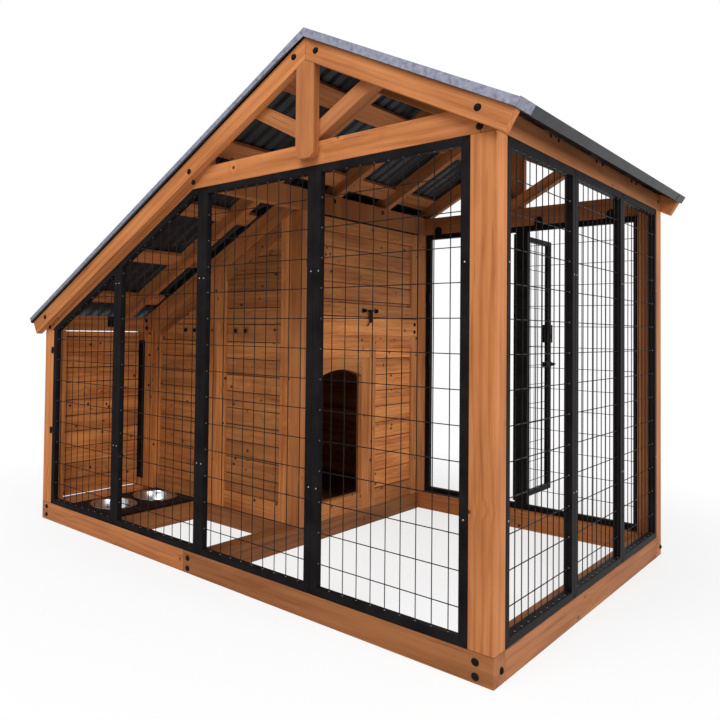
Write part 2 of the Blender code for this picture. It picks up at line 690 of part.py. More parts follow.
def sheet_outline():
    """Cross-section of a roof sheet: folded rake edges at both ends and small ribs between."""
    low, high = ROOF_Y
    line = [(low + RAKE_WIDTH, RAKE_RISE), (low + RAKE_WIDTH + RIB_TOP / 2, 0.0)]
    room = high - low - 2 * (RAKE_WIDTH + RIB_TOP / 2)
    count = int((room - RIB_BASE) / RIB_PITCH)
    first = (low + high) / 2 - (count - 1) * RIB_PITCH / 2
    for index in range(count):
        middle = first + index * RIB_PITCH
        line += [(middle - RIB_BASE / 2, 0.0), (middle - RIB_TOP / 2, RIB_HEIGHT)]
        line += [(middle + RIB_TOP / 2, RIB_HEIGHT), (middle + RIB_BASE / 2, 0.0)]
    line += [(high - RAKE_WIDTH - RIB_TOP / 2, 0.0), (high - RAKE_WIDTH, RAKE_RISE)]
    under = [(low + SHEET_THICK, 0.0), (low + SHEET_THICK, RAKE_RISE), *line]
    under += [(high - SHEET_THICK, RAKE_RISE), (high - SHEET_THICK, 0.0)]
    over = [(low, 0.0), (low, RAKE_RISE + SHEET_THICK), *[(y, rise + SHEET_THICK) for y, rise in line]]
    over += [(high, RAKE_RISE + SHEET_THICK), (high, 0.0)]
    return under + over[::-1]


def roof_sheet(name, side):
    """A ribbed sheet in its slope's own frame: x across the roof, y square to it, z along it."""
    end = sheet_end(side)
    start = SHEET_THICK
    slope = Vector((math.cos(PITCH), 0.0, -side * math.sin(PITCH)))
    normal = Vector((side * math.sin(PITCH), 0.0, math.cos(PITCH)))
    frame = Matrix((Vector((0.0, 1.0, 0.0)), normal, slope)).transposed()
    middle = side * (start + end) / 2
    location = Vector((RIDGE_X, 0.0, RIDGE_HEIGHT)) + slope * middle + normal * GAP
    facing = frame.to_euler()
    mesh = plate_mesh(name, sheet_outline(), end - start)
    sheet = piece(name, mesh, "roof_steel", location, facing)
    half = (end - start) / 2
    edge = (half - SHEET_THICK, half + SHEET_THICK / 2)
    drip = (ROOF_Y, (-EAVE_DROP, EAVE_RISE), edge if side > 0 else (-edge[1], -edge[0]))
    return combine(sheet, "UNION", tool(boxes_mesh(name + "_drip", drip), location, facing))


def roof_metal():
    roof_sheet("roof_sheet_low", -1)
    roof_sheet("roof_sheet_high", 1)
    lift = (RAKE_TOP + GAP) / math.cos(PITCH)
    thick = SHEET_THICK / math.cos(PITCH)
    wing = RIDGE_CAP_WING * math.cos(PITCH)
    lower = [(RIDGE_X + step * wing, slope_at(RIDGE_X + step * wing, -lift)) for step in (-1, 0, 1)]
    upper = [(x, height + thick) for x, height in lower]
    plate_piece("ridge_cap", "roof_steel", lower + upper[::-1], FACING_Y, ROOF_Y)


def field_cut(wall, outline, facing, face, depth, parent=None):
    """A shallow field in a framed wall, where its planks lie back from the stiles and rails."""
    span = sorted((face - math.copysign(GAP, depth), face + depth))
    combine(wall, "DIFFERENCE", plate_tool(wall.name + "_field", outline, facing, span, parent))


def cabin_front_wall():
    left, right = POST + GAP, CABIN_SIDE_X - CABIN_POST - GAP
    foot = SILL_HEIGHT + GAP
    drop = WALL_PLATE_DROP + WALL_PLATE_HEIGHT + 2 * GAP
    outline = [(left, foot), (right, foot), (right, slope_at(right, drop)), (left, slope_at(left, drop))]
    across = (FRONT_WALL_FACE, FRONT_WALL_FACE + FRONT_WALL_THICK)
    wall = plate_piece("cabin_front_wall", "stained_softwood", outline, FACING_Y, across)
    first = (left + FRONT_STUD + STILE, FRONT_FIELD_JOINT - STILE)
    second = (FRONT_FIELD_JOINT + STILE, right - STILE)
    for low, high in (first, second):
        bottom = foot + FIELD_LOW_RAIL
        rail = drop + TOP_RAIL_DROP
        field = [(low, bottom), (high, bottom), (high, slope_at(high, rail)), (low, slope_at(low, rail))]
        field_cut(wall, field, FACING_Y, FRONT_WALL_FACE, FIELD_DEPTH)


def doorway_outline():
    """Doorway with a low arch: straight jambs and an arc through the springing points and the crown."""
    half = DOORWAY_WIDTH / 2
    middle = DOORWAY_LEFT + half
    radius = (half**2 + DOORWAY_RISE**2) / (2 * DOORWAY_RISE)
    centre = DOORWAY_SPRING + DOORWAY_RISE - radius
    open_angle = math.asin(half / radius)
    arc = []
    for step in range(DOORWAY_ARC_STEPS + 1):
        angle = open_angle * (1 - 2 * step / DOORWAY_ARC_STEPS)
        arc.append((middle + radius * math.sin(angle), centre + radius * math.cos(angle)))
    return [(middle - half, THRESHOLD_TOP), (middle + half, THRESHOLD_TOP), *arc]


def cabin_side_wall():
    y0, y1 = CABIN_FRONT_Y + CABIN_POST + GAP, REAR_POST_FRONT - GAP
    across = (SIDE_WALL_FACE - SIDE_WALL_THICK, SIDE_WALL_FACE)
    outline = rectangle((y0, y1), (SILL_HEIGHT + GAP, MIDDLE_RAIL_HIGH))
    wall = plate_piece("cabin_side_wall", "stained_softwood", outline, FACING_X, across)
    through = (across[0] - SIDE_WALL_THICK, across[1] + SIDE_WALL_THICK)
    combine(wall, "DIFFERENCE", plate_tool("doorway", doorway_outline(), FACING_X, through))
    field = rectangle((SIDE_FIELD_LEFT, y1 - SIDE_STILE), (THRESHOLD_TOP, SIDE_FIELD_TOP))
    field_cut(wall, field, FACING_X, SIDE_WALL_FACE, -FIELD_DEPTH)


def cabin_hatch():
    """The upper hatch and its hasp, both hung on axes along Y."""
    hinge = new_empty("hatch_hinge", HATCH_AXIS, root)
    half = (HATCH_Y[1] - HATCH_Y[0]) / 2
    low = HATCH_LOW - HATCH_AXIS[2]
    high = -HATCH_BARREL_SPACE / 2
    across = (-SIDE_WALL_THICK, 0.0)
    outline = rectangle((-half, half), (low, high))
    hatch = plate_piece("cabin_hatch", "stained_softwood", outline, FACING_X, across, hinge)
    field = rectangle((-half + SIDE_STILE, half - SIDE_STILE), (low + HATCH_LOW_RAIL, high - STILE))
    field_cut(hatch, field, FACING_X, 0.0, -FIELD_DEPTH, hinge)
    inner = HATCH_HALF - HATCH_KNUCKLE - KNUCKLE_MARGIN
    link_x = (-HATCH_HINGE_RADIUS + KNUCKLE_PLAY, KNUCKLE_PLAY)
    link_z = (high - HATCH_HINGE_RADIUS, -KNUCKLE_PLAY)
    link = boxes_mesh("hatch_hinge_leaf", (link_x, (-inner, inner), link_z))
    combine(hatch, "UNION", tool(link, parent=hinge))
    sizes = (HATCH_HALF, HATCH_KNUCKLE, HATCH_HINGE_RADIUS, HATCH_PIN_RADIUS)
    add_moving_knuckle(hatch, "Y", FLAT, *sizes, parent=hinge)
    rod = (HASP_STAND_OFF, HASP_Y - HATCH_AXIS[1], HASP_ROD_HEIGHT - HATCH_AXIS[2])
    for side in (-1, 1):
        ends = sorted((rod[1] + side * HASP_ROD_SPAN / 2, rod[1] + side * (HASP_ROD_SPAN / 2 - HASP_EAR)))
        span = ((-HASP_ROD_RADIUS, rod[0] + HASP_ROD_RADIUS * 2), ends, (rod[2] - HASP_EAR, rod[2] + HASP_EAR))
        combine(hatch, "UNION", tool(boxes_mesh("hasp_bracket", span), parent=hinge))
    reach = HASP_ROD_SPAN / 2 - HASP_ROD_RADIUS
    ends = along("Y", rod, -reach), along("Y", rod, reach)
    combine(hatch, "UNION", tool(rod_mesh("hasp_rod", HASP_ROD_RADIUS, *ends), parent=hinge))

    swing = new_empty("hasp_hinge", rod, hinge)
    half = HASP_WIDTH / 2
    hub = rod_mesh("hatch_hasp", HASP_ROD_RADIUS * 2, (0, -half, 0), (0, half, 0))
    hasp = piece("hatch_hasp", hub, "black_powder_coat", parent=swing)
    strap = ((-HASP_THICK / 2, HASP_THICK / 2), (-half + GAP, half - GAP), (-HASP_LENGTH, 0.0))
    combine(hasp, "UNION", tool(boxes_mesh("hasp_strap", strap), parent=swing))
    clip_end = (0.0, -CLIP_LENGTH, -HASP_LENGTH - CLIP_LENGTH / 2)
    clip = rod_mesh("hasp_clip", HASP_THICK, (0.0, 0.0, -HASP_LENGTH + HASP_WIDTH / 2), clip_end)
    combine(hasp, "UNION", tool(clip, parent=swing))
    bore = rod_mesh("hasp_bore", HASP_ROD_RADIUS + BORE_PLAY, (0, -HASP_WIDTH, 0), (0, HASP_WIDTH, 0))
    combine(hasp, "DIFFERENCE", tool(bore, parent=swing))


def cabin_shell():
    """Floor, back wall and end wall of the cabin."""
    wood = "stained_softwood"
    left, right = POST + GAP, CABIN_SIDE_X - CABIN_POST - GAP
    foot = SILL_HEIGHT + GAP
    y = (FRONT_WALL_FACE + FRONT_WALL_THICK + GAP, DEPTH - TUBE - GAP)
    box_piece("cabin_floor", wood, (left, right), y, (foot, foot + FLOOR_THICK))
    drop = BACK_WALL_TOP_DROP
    outline = [(left, foot), (right, foot), (right, slope_at(right, drop)), (left, slope_at(left, drop))]
    plate_piece("cabin_back_wall", wood, outline, FACING_Y, (DEPTH - TUBE, DEPTH))
    x = (END_WALL_SETBACK, END_WALL_SETBACK + END_WALL_THICK)
    box_piece("cabin_end_wall", wood, x, (CABIN_FRONT_Y + POST + GAP, DEPTH - POST - GAP), (foot, LOW_EAVE))


def feeding_door():
    """The plank door in the low end, hung on a long hinge at the end wall's post."""
    plate_y = (CABIN_FRONT_Y - GAP - FEED_PLATE_THICK, CABIN_FRONT_Y - GAP)
    middle = (FEED_PLATE_LOW + FEED_PLATE_HIGH) / 2
    axis = (-FEED_HINGE_RADIUS - FEED_HINGE_STAND, sum(plate_y) / 2, middle)
    half = (FEED_PLATE_HIGH - FEED_PLATE_LOW) / 2
    sizes = (half, FEED_KNUCKLE_LENGTH, FEED_HINGE_RADIUS, FEED_PIN_RADIUS)
    plate_x = (FEED_PIN_RADIUS / 4, POST - FEED_PLATE_THICK)
    plate_z = (FEED_PLATE_LOW, FEED_PLATE_HIGH)
    plate = box_piece("feeding_door_hinge", "black_powder_coat", plate_x, plate_y, plate_z)
    for side in (-1, 1):
        ends = sorted((middle + side * (half - GAP), middle + side * (half - FEED_KNUCKLE_LENGTH + GAP)))
        tab = ((axis[0], plate_x[0] + FEED_PLATE_THICK), (plate_y[0] + GAP, plate_y[1] - GAP), ends)
        combine(plate, "UNION", tool(boxes_mesh("feeding_hinge_tab", tab)))
    add_fixed_knuckles(plate, "Z", axis, *sizes)

    hinge = new_empty("feeding_hinge", axis, root)
    edge = (POST + FEED_LEAF_CLEARANCE - axis[1], plate_y[0] - FEED_PLATE_THICK / 2 - axis[1])
    face = GAP - axis[0]
    x = (face, face + FEED_LEAF_THICK)
    z = (FEED_LEAF_LOW - middle, LOW_EAVE + GAP - FEED_TOP_GAP - middle)
    leaf = box_piece("feeding_door", "stained_softwood", x, edge, z, hinge)
    inner = half - FEED_KNUCKLE_LENGTH - KNUCKLE_MARGIN
    strap = ((FEED_PIN_RADIUS, face + FEED_PIN_RADIUS), (edge[1] - STRAP_REACH, edge[1]), (-inner, inner))
    combine(leaf, "UNION", tool(boxes_mesh("feeding_strap", strap), parent=hinge))
    add_moving_knuckle(leaf, "Z", FLAT, *sizes, parent=hinge)


def bowl(name, y):
    """A turned bowl hung by its rim in a hole of the tray."""
    wall = BOWL_HOLE_RADIUS - BOWL_RIM + BOWL_WALL / 2
    profile = [
        (0.0, -BOWL_DEPTH + BOWL_WALL),
        (BOWL_BASE_RADIUS - BOWL_WALL, -BOWL_DEPTH + BOWL_WALL),
        (wall - BOWL_WALL, BOWL_RIM),
        (BOWL_RADIUS, BOWL_RIM),
        (BOWL_RADIUS, 0.0),
        (wall, 0.0),
        (BOWL_BASE_RADIUS, -BOWL_DEPTH),
        (0.0, -BOWL_DEPTH),
    ]
    shape = bmesh.new()
    corners = [shape.verts.new((radius, 0.0, height)) for radius, height in profile]
    for start, end in zip(corners, corners[1:]):
        shape.edges.new((start, end))
    mesh = bpy.data.meshes.new(name)
    shape.to_mesh(mesh)
    shape.free()
    obj = piece(name, mesh, "stainless_steel", (BOWL_X, y, TRAY_TOP + GAP))
    turn = obj.modifiers.new("turned", "SCREW")
    turn.steps = ROUND_STEPS
    turn.render_steps = ROUND_STEPS
    turn.use_merge_vertices = True
    turn.merge_threshold = WELD_DISTANCE
    return obj


def feeding_bay():
    """The steel tray between the front sill and the cabin, with its two lift-out bowls."""
    y = (TUBE + FEED_LEAF_CLEARANCE, FRONT_WALL_FACE - FEED_PLATE_THICK)
    low = SILL_HEIGHT + GAP
    tray = box_piece("bowl_tray", "black_powder_coat", (TRAY_LEFT, TRAY_RIGHT), y, (low, TRAY_TOP))
    skirt_y = (SILL_WIDTH + FEED_LEAF_CLEARANCE, CABIN_FRONT_Y - FEED_LEAF_CLEARANCE)
    skirt_z = (low - TRAY_SKIRT, low + TRAY_THICK / 2)
    bay_left = BAY_SILL_RIGHT - SILL_WIDTH - FEED_LEAF_CLEARANCE
    left = (TRAY_LEFT + GAP, TRAY_LEFT + TRAY_SKIRT_THICK)
    skirts = boxes_mesh(
        "tray_skirts", (left, skirt_y, skirt_z), ((bay_left - TRAY_SKIRT_THICK, bay_left), skirt_y, skirt_z)
    )
    combine(tray, "UNION", tool(skirts))
    for number, place in enumerate(BOWL_Y):
        start, end = (BOWL_X, place, low - TRAY_THICK), (BOWL_X, place, TRAY_TOP + TRAY_THICK)
        hole = rod_mesh("bowl_hole", BOWL_HOLE_RADIUS, start, end, ROUND_STEPS)
        combine(tray, "DIFFERENCE", tool(hole))
        bowl(("bowl_front", "bowl_rear")[number], place)


def mesh_panel(name, outline, facing, across, net_place, parent=None):
    """A tube frame round a welded wire net, drawn in its plane, anticlockwise."""
    panel = plate_piece(name, "black_powder_coat", outline, facing, across, parent)
    inner = inset(outline, TUBE)
    through = (across[0] - TUBE, across[1] + TUBE)
    combine(panel, "DIFFERENCE", plate_tool(name + "_inside", inner, facing, through, parent))
    net_span = (net_place - WIRE / 2, net_place + WIRE / 2)
    net = plate_tool(name + "_net", inset(outline, NET_EDGE), facing, net_span, parent)
    low = [min(corner[index] for corner in inner) for index in (0, 1)]
    high = [max(corner[index] for corner in inner) for index in (0, 1)]
    columns = max(1, round((high[0] - low[0]) / NET_GAP_WIDTH))
    rows = max(1, round((high[1] - low[1]) / NET_GAP_HEIGHT))
    steps = ((high[0] - low[0]) / columns, (high[1] - low[1]) / rows)
    holes = []
    for column in range(columns):
        for row in range(rows):
            spans = []
            for index, number, count in ((0, column, columns), (1, row, rows)):
                start = low[index] + number * steps[index] + (WIRE / 2 if number else -WIRE)
                end = low[index] + (number + 1) * steps[index] - (WIRE / 2 if number + 1 < count else -WIRE)
                spans.append((start, end))
            holes.append((*spans, (-WIRE, WIRE)))
    place = plate_place(facing, net_span)
    combine(net, "DIFFERENCE", tool(boxes_mesh(name + "_gaps", *holes), place, facing, parent))
    return combine(panel, "UNION", net)


def front_panels():
    """Four panels under the backing rafter and the tie beam, in the plane of the posts."""
    foot = SILL_HEIGHT + GAP
    end = LENGTH - POST - GAP
    first = POST + FRONT_PANEL_FIRST
    step = (end - first) / WIDE_PANEL_COUNT
    seams = [POST + GAP] + [first + step * index for index in range(WIDE_PANEL_COUNT)] + [end + GAP]
    turn = slope_x(HIGH_EAVE, BACKING_DROP + 2 * GAP, -1)

    def top(x):
        return min(slope_at(x, BACKING_DROP + 2 * GAP), HIGH_EAVE)

    for number, (left, right) in enumerate(zip(seams, seams[1:]), 1):
        right -= GAP
        outline = [(left, foot), (right, foot), (right, top(right))]
        if left < turn < right:
            outline.append((turn, HIGH_EAVE))
        outline.append((left, top(left)))
        mesh_panel(f"mesh_panel_front_{number}", outline, FACING_Y, (0.0, TUBE), NET_INSET)


def side_panels():
    """Three panels in the high end."""
    seams = [POST + GAP, POST + SIDE_PANEL_FIRST, POST + SIDE_PANEL_FIRST + SIDE_PANEL_SECOND, DEPTH - POST]
    height = (SILL_HEIGHT + GAP, HIGH_EAVE)
    for number, (near, far) in enumerate(zip(seams, seams[1:]), 1):
        outline = rectangle((near, far - GAP), height)
        plane = (LENGTH - TUBE, LENGTH)
        mesh_panel(f"mesh_panel_side_{number}", outline, FACING_X, plane, LENGTH - NET_INSET)


def rear_wall():
    """The fixed rear panel, the door frame with its hinge pins, and the door swung open behind it."""
    plane = (DEPTH - TUBE, DEPTH)
    fixed = rectangle((FRAME_X[1] + GAP, LENGTH - POST - GAP), FRAME_Z)
    mesh_panel("mesh_panel_rear", fixed, FACING_Y, plane, DEPTH - NET_INSET)
    frame = plate_piece("door_frame", "black_powder_coat", rectangle(FRAME_X, FRAME_Z), FACING_Y, plane)
    through = (plane[0] - TUBE, plane[1] + TUBE)
    opening = plate_tool("door_opening", rectangle(OPENING_X, OPENING_Z), FACING_Y, through)
    combine(frame, "DIFFERENCE", opening)
    sizes = (HINGE_LENGTH / 2, HINGE_KNUCKLE, HINGE_RADIUS, HINGE_PIN_RADIUS)
    middle = HINGE_LENGTH / 2 - HINGE_KNUCKLE
    strap_face = HINGE_FACE_OFFSET - STRAP_THICK / 2
    for height in HINGE_HEIGHTS:
        for side in (-1, 1):
            ends = sorted((height + side * (HINGE_LENGTH / 2 - GAP), height + side * (middle + GAP)))
            across = (DEPTH - STRAP_THICK, HINGE_Y - HINGE_PLATE_BACK)
            spans = ((HINGE_X, FRAME_X[1] - STRAP_THICK), across, ends)
            combine(frame, "UNION", tool(boxes_mesh("hinge_plate", spans)))
        add_fixed_knuckles(frame, "Z", (HINGE_X, HINGE_Y, height), *sizes)

    hinge = new_empty("door_hinge", (HINGE_X, HINGE_Y, 0.0), root, -math.pi / 2)
    x = (-LEAF_EDGE - LEAF_WIDTH, -LEAF_EDGE)
    z = (OPENING_Z[0] + LEAF_CLEARANCE, OPENING_Z[1] - LEAF_CLEARANCE)
    outer = -HINGE_FACE_OFFSET - STRAP_THICK / 2
    y = (outer - LEAF_TUBE, outer)
    leaf = mesh_panel("door_leaf", rectangle(x, z), FACING_Y, y, outer - NET_INSET, hinge)
    lock_z = (LOCK_LOW, LOCK_LOW + LOCK_HEIGHT)
    lock_y = (y[0] - LOCK_PROUD, y[1] + LOCK_PROUD)
    lock = boxes_mesh("lock_case", ((x[0] + GAP, x[0] + LOCK_WIDTH), lock_y, lock_z))
    combine(leaf, "UNION", tool(lock, parent=hinge))
    for height in HINGE_HEIGHTS:
        reach = middle - KNUCKLE_MARGIN
        span = (height - reach, height + reach)
        on_leaf = ((x[1] - STRAP_REACH, x[1] - GAP), (outer - STRAP_THICK, -STRAP_THICK / 2), span)
        bridge = ((x[1] - STRAP_THICK, -BORE_PLAY), (-strap_face - HINGE_BRIDGE_LAP, -STRAP_THICK / 2), span)
        combine(leaf, "UNION", tool(boxes_mesh("hinge_strap", on_leaf), parent=hinge))
        combine(leaf, "UNION", tool(boxes_mesh("hinge_bridge", bridge), parent=hinge))
        add_moving_knuckle(leaf, "Z", (0.0, 0.0, height), *sizes, parent=hinge)
    rod_y = outer + BOLT_OFFSET
    low_y = outer - STRAP_THICK / 2
    plate_x = (x[0] + GAP, x[0] + BOLT_LUG_SECOND + BOLT_LUG + STRAP_THICK)
    plate_z = (BOLT_Z - BOLT_PLATE_HEIGHT / 2, BOLT_Z + BOLT_PLATE_HEIGHT / 2)
    plate = boxes_mesh("bolt_plate", (plate_x, (low_y, outer + BOLT_PLATE_THICK), plate_z))
    combine(leaf, "UNION", tool(plate, parent=hinge))
    for place in (BOLT_LUG_FIRST, BOLT_LUG_SECOND):
        near = x[0] + place
        lug_z = (BOLT_Z - BOLT_OFFSET, BOLT_Z + BOLT_OFFSET)
        lug = boxes_mesh("bolt_lug", ((near, near + BOLT_LUG), (low_y, rod_y + BOLT_OFFSET), lug_z))
        combine(leaf, "UNION", tool(lug, parent=hinge))
    bore_ends = (x[0] - BOLT_LUG, rod_y, BOLT_Z), (x[0] + BOLT_LENGTH, rod_y, BOLT_Z)
    bore = rod_mesh("bolt_bore", BOLT_RADIUS + BORE_PLAY, *bore_ends)
    combine(leaf, "DIFFERENCE", tool(bore, parent=hinge))

    slide = new_empty("bolt_slide", (x[0], rod_y, BOLT_Z), hinge)
    rod = rod_mesh("door_bolt", BOLT_RADIUS, (-BOLT_PROJECTION, 0, 0), (BOLT_LENGTH - BOLT_PROJECTION, 0, 0))
    bolt = piece("door_bolt", rod, "black_powder_coat", parent=slide)
    knob_x = (BOLT_KNOB_PLACE, BOLT_KNOB_PLACE + BOLT_KNOB_LENGTH)
    knob = boxes_mesh("bolt_knob", (knob_x, (0.0, BOLT_OFFSET * 2), (-BOLT_RADIUS / 2, BOLT_RADIUS / 2)))
    combine(bolt, "UNION", tool(knob, parent=slide))


base_frame()
posts()
front_truss()
rear_truss()
headers()
inner_rafters()
roof_metal()
cabin_front_wall()
cabin_side_wall()
cabin_hatch()
cabin_shell()
feeding_door()
feeding_bay()
front_panels()
side_panels()
rear_wall()
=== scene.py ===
# %% [markdown]
# # A wooden dog kennel with a mesh run
# The kennel is a timber frame with a plank cabin at its low end and a run walled with welded
# wire at its high end, all under one unequal gable roof of ribbed steel. Its solids come from
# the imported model. This lesson dresses them: the timber becomes separate boards with grain,
# the nets become real wires, and each metal gets the finish that it has on the real kennel.

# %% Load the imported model
import math
import random

import bmesh
import bpy
from mathutils import Matrix, Vector


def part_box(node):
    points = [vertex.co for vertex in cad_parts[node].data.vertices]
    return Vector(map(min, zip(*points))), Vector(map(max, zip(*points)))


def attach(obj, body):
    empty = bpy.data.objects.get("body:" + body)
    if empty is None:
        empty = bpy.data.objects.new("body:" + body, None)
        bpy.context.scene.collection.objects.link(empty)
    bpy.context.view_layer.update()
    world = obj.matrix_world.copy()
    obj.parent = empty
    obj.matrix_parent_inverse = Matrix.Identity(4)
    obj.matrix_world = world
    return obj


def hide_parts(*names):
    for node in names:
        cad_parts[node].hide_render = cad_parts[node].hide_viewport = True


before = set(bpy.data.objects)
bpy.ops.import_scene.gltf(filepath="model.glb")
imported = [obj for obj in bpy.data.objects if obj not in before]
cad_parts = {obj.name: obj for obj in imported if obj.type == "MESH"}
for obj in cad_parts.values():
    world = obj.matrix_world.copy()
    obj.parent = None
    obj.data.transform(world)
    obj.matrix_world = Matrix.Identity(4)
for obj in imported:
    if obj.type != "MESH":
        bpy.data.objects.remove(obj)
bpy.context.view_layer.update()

luck = random.Random(29)

# %% [markdown]
# Sizes on the kennel are measured from the low front corner of its base, as a joiner would.
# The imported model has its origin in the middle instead, so one corner turns the one into the
# other. It is read from the model, so that everything here follows it.

# %% Where things are
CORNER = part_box("sill_front_left")[0].copy()
GAP = 0.0003
X, Y, Z = Vector((1, 0, 0)), Vector((0, 1, 0)), Vector((0, 0, 1))
AXES = {"X": X, "Y": Y, "Z": Z}


def spans(node):
    """The reach of a node along X, Y and Z, measured from the kennel's low front corner."""
    low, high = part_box(node)
    return [(low[i] - CORNER[i], high[i] - CORNER[i]) for i in range(3)]


LENGTH, DEPTH, SILL_TOP = (high for low, high in spans("sill_rear"))
RIDGE_X = sum(spans("king_post_front")[0]) / 2
RIDGE_HEIGHT = spans("rafter_front_right")[2][1]
PITCH = math.radians(29.5)
COS, SIN, TAN = math.cos(PITCH), math.sin(PITCH), math.tan(PITCH)
print("kennel", round(LENGTH, 3), "by", round(DEPTH, 3), "ridge", round(RIDGE_HEIGHT, 3))


def slope_at(x, drop=0.0):
    """Height over x of the line that lies a vertical drop below the tops of the rafters."""
    return RIDGE_HEIGHT - drop - abs(x - RIDGE_X) * TAN


def sloped(low, high, bottom, top=0.0):
    """A strip from low to high between two lines that follow the slope."""
    foot = [(x, slope_at(x, bottom)) for x in (low, high)]
    return foot + [(x, slope_at(x, top)) for x in (high, low)]


def box(u, v):
    return [(u[0], v[0]), (u[1], v[0]), (u[1], v[1]), (u[0], v[1])]


def laid(side, down, rise):
    """A bar seen from the gable, from its reach down a slope and its reach off it."""
    places = [(d * COS + r * SIN, r * COS - d * SIN) for d, r in box(down, rise)]
    return [(RIDGE_X + side * away, RIDGE_HEIGHT + height) for away, height in places]


# %% [markdown]
# Colours are written as the hex values that a paint chart would give, and Blender works in
# linear light. One function turns the one into the other. A second one adds a node to a tree
# with its settings and its links in one line, for materials and for geometry nodes alike.

# %% Colour and node helpers
def linear(hex_colour):
    """A hex sRGB colour as linear red, green, blue and full alpha."""
    channels = [int(hex_colour[i : i + 2], 16) / 255 for i in (0, 2, 4)]
    return (*[c / 12.92 if c <= 0.04045 else ((c + 0.055) / 1.055) ** 2.4 for c in channels], 1.0)


def add(tree, kind, inputs=None, **settings):
    """A node with its settings, and its inputs linked to a socket or set to a value."""
    made = tree.nodes.new(kind)
    for name, value in settings.items():
        setattr(made, name, value)
    for socket, value in (inputs or {}).items():
        if isinstance(value, bpy.types.NodeSocket):
            tree.links.new(value, made.inputs[socket])
        else:
            made.inputs[socket].default_value = value
    return made


def maths(tree, operation, *values):
    """The result of a sum on sockets and numbers."""
    return add(tree, "ShaderNodeMath", dict(enumerate(values)), operation=operation).outputs[0]


def vectors(tree, operation, *values):
    """The result of a sum on vectors."""
    made = add(tree, "ShaderNodeVectorMath", dict(enumerate(values)), operation=operation)
    return made.outputs["Value" if operation == "LENGTH" else "Vector"]


def noise(tree, vector, scale, detail, output="Fac"):
    inputs = {"Vector": vector, "Scale": scale, "Detail": detail}
    return add(tree, "ShaderNodeTexNoise", inputs).outputs[output]


def mapped(tree, value, low, high, start, end, **settings):
    """A value moved from the range low to high into the range start to end."""
    inputs = {0: value, 1: low, 2: high, 3: start, 4: end}
    return add(tree, "ShaderNodeMapRange", inputs, **settings).outputs[0]


def new_material(name, roughness, metallic=0.0, gloss=0.5):
    """A material with its shader, whose steady values are set on the shader itself."""
    material = bpy.data.materials.new(name)
    material.use_nodes = True
    shader = material.node_tree.nodes["Principled BSDF"]
    shader.inputs["Roughness"].default_value = roughness
    shader.inputs["Metallic"].default_value = metallic
    shader.inputs["Specular IOR Level"].default_value = gloss
    return material, material.node_tree, shader


def ramp(tree, factor, *stops):
    """A colour ramp from (place, hex colour) stops."""
    made = add(tree, "ShaderNodeValToRGB", {"Fac": factor})
    elements = made.color_ramp.elements
    while len(elements) < len(stops):
        elements.new(0.5)
    for element, (place, colour) in zip(elements, stops):
        element.position = place
        element.color = linear(colour)
    return made.outputs["Color"]


def surface(tree, shader, colour, roughness, height, strength, depth):
    """Links a colour, a roughness and a fine bump to the shader."""
    bump = add(tree, "ShaderNodeBump", {"Height": height, "Strength": strength, "Distance": depth})
    links = {"Base Color": colour, "Roughness": roughness, "Normal": bump.outputs["Normal"]}
    for socket, value in links.items():
        tree.links.new(value, shader.inputs[socket])


# %% [markdown]
# ## Stained fir
# The timber is planed fir with a brown-orange stain, brushed on and left matt. Three things
# make it read as wood: growth rings cut along the board, which give long wandering bands, fine
# pores along the fibres, and small dark knots. A flat texture would run the same way on every
# board, so each board carries its own grain space in an attribute: how far along the fibres,
# and how far from the tree's pith. Rings are then real rings around that pith. Real ones are
# 2 to 4 mm apart, too fine to show here, so they are drawn 22 mm apart and faint, and broader
# streaks of 15 mm carry the brushed stain. Long dark hairlines are drying checks.

# %% Wood material
RING_WIDTH = 0.022


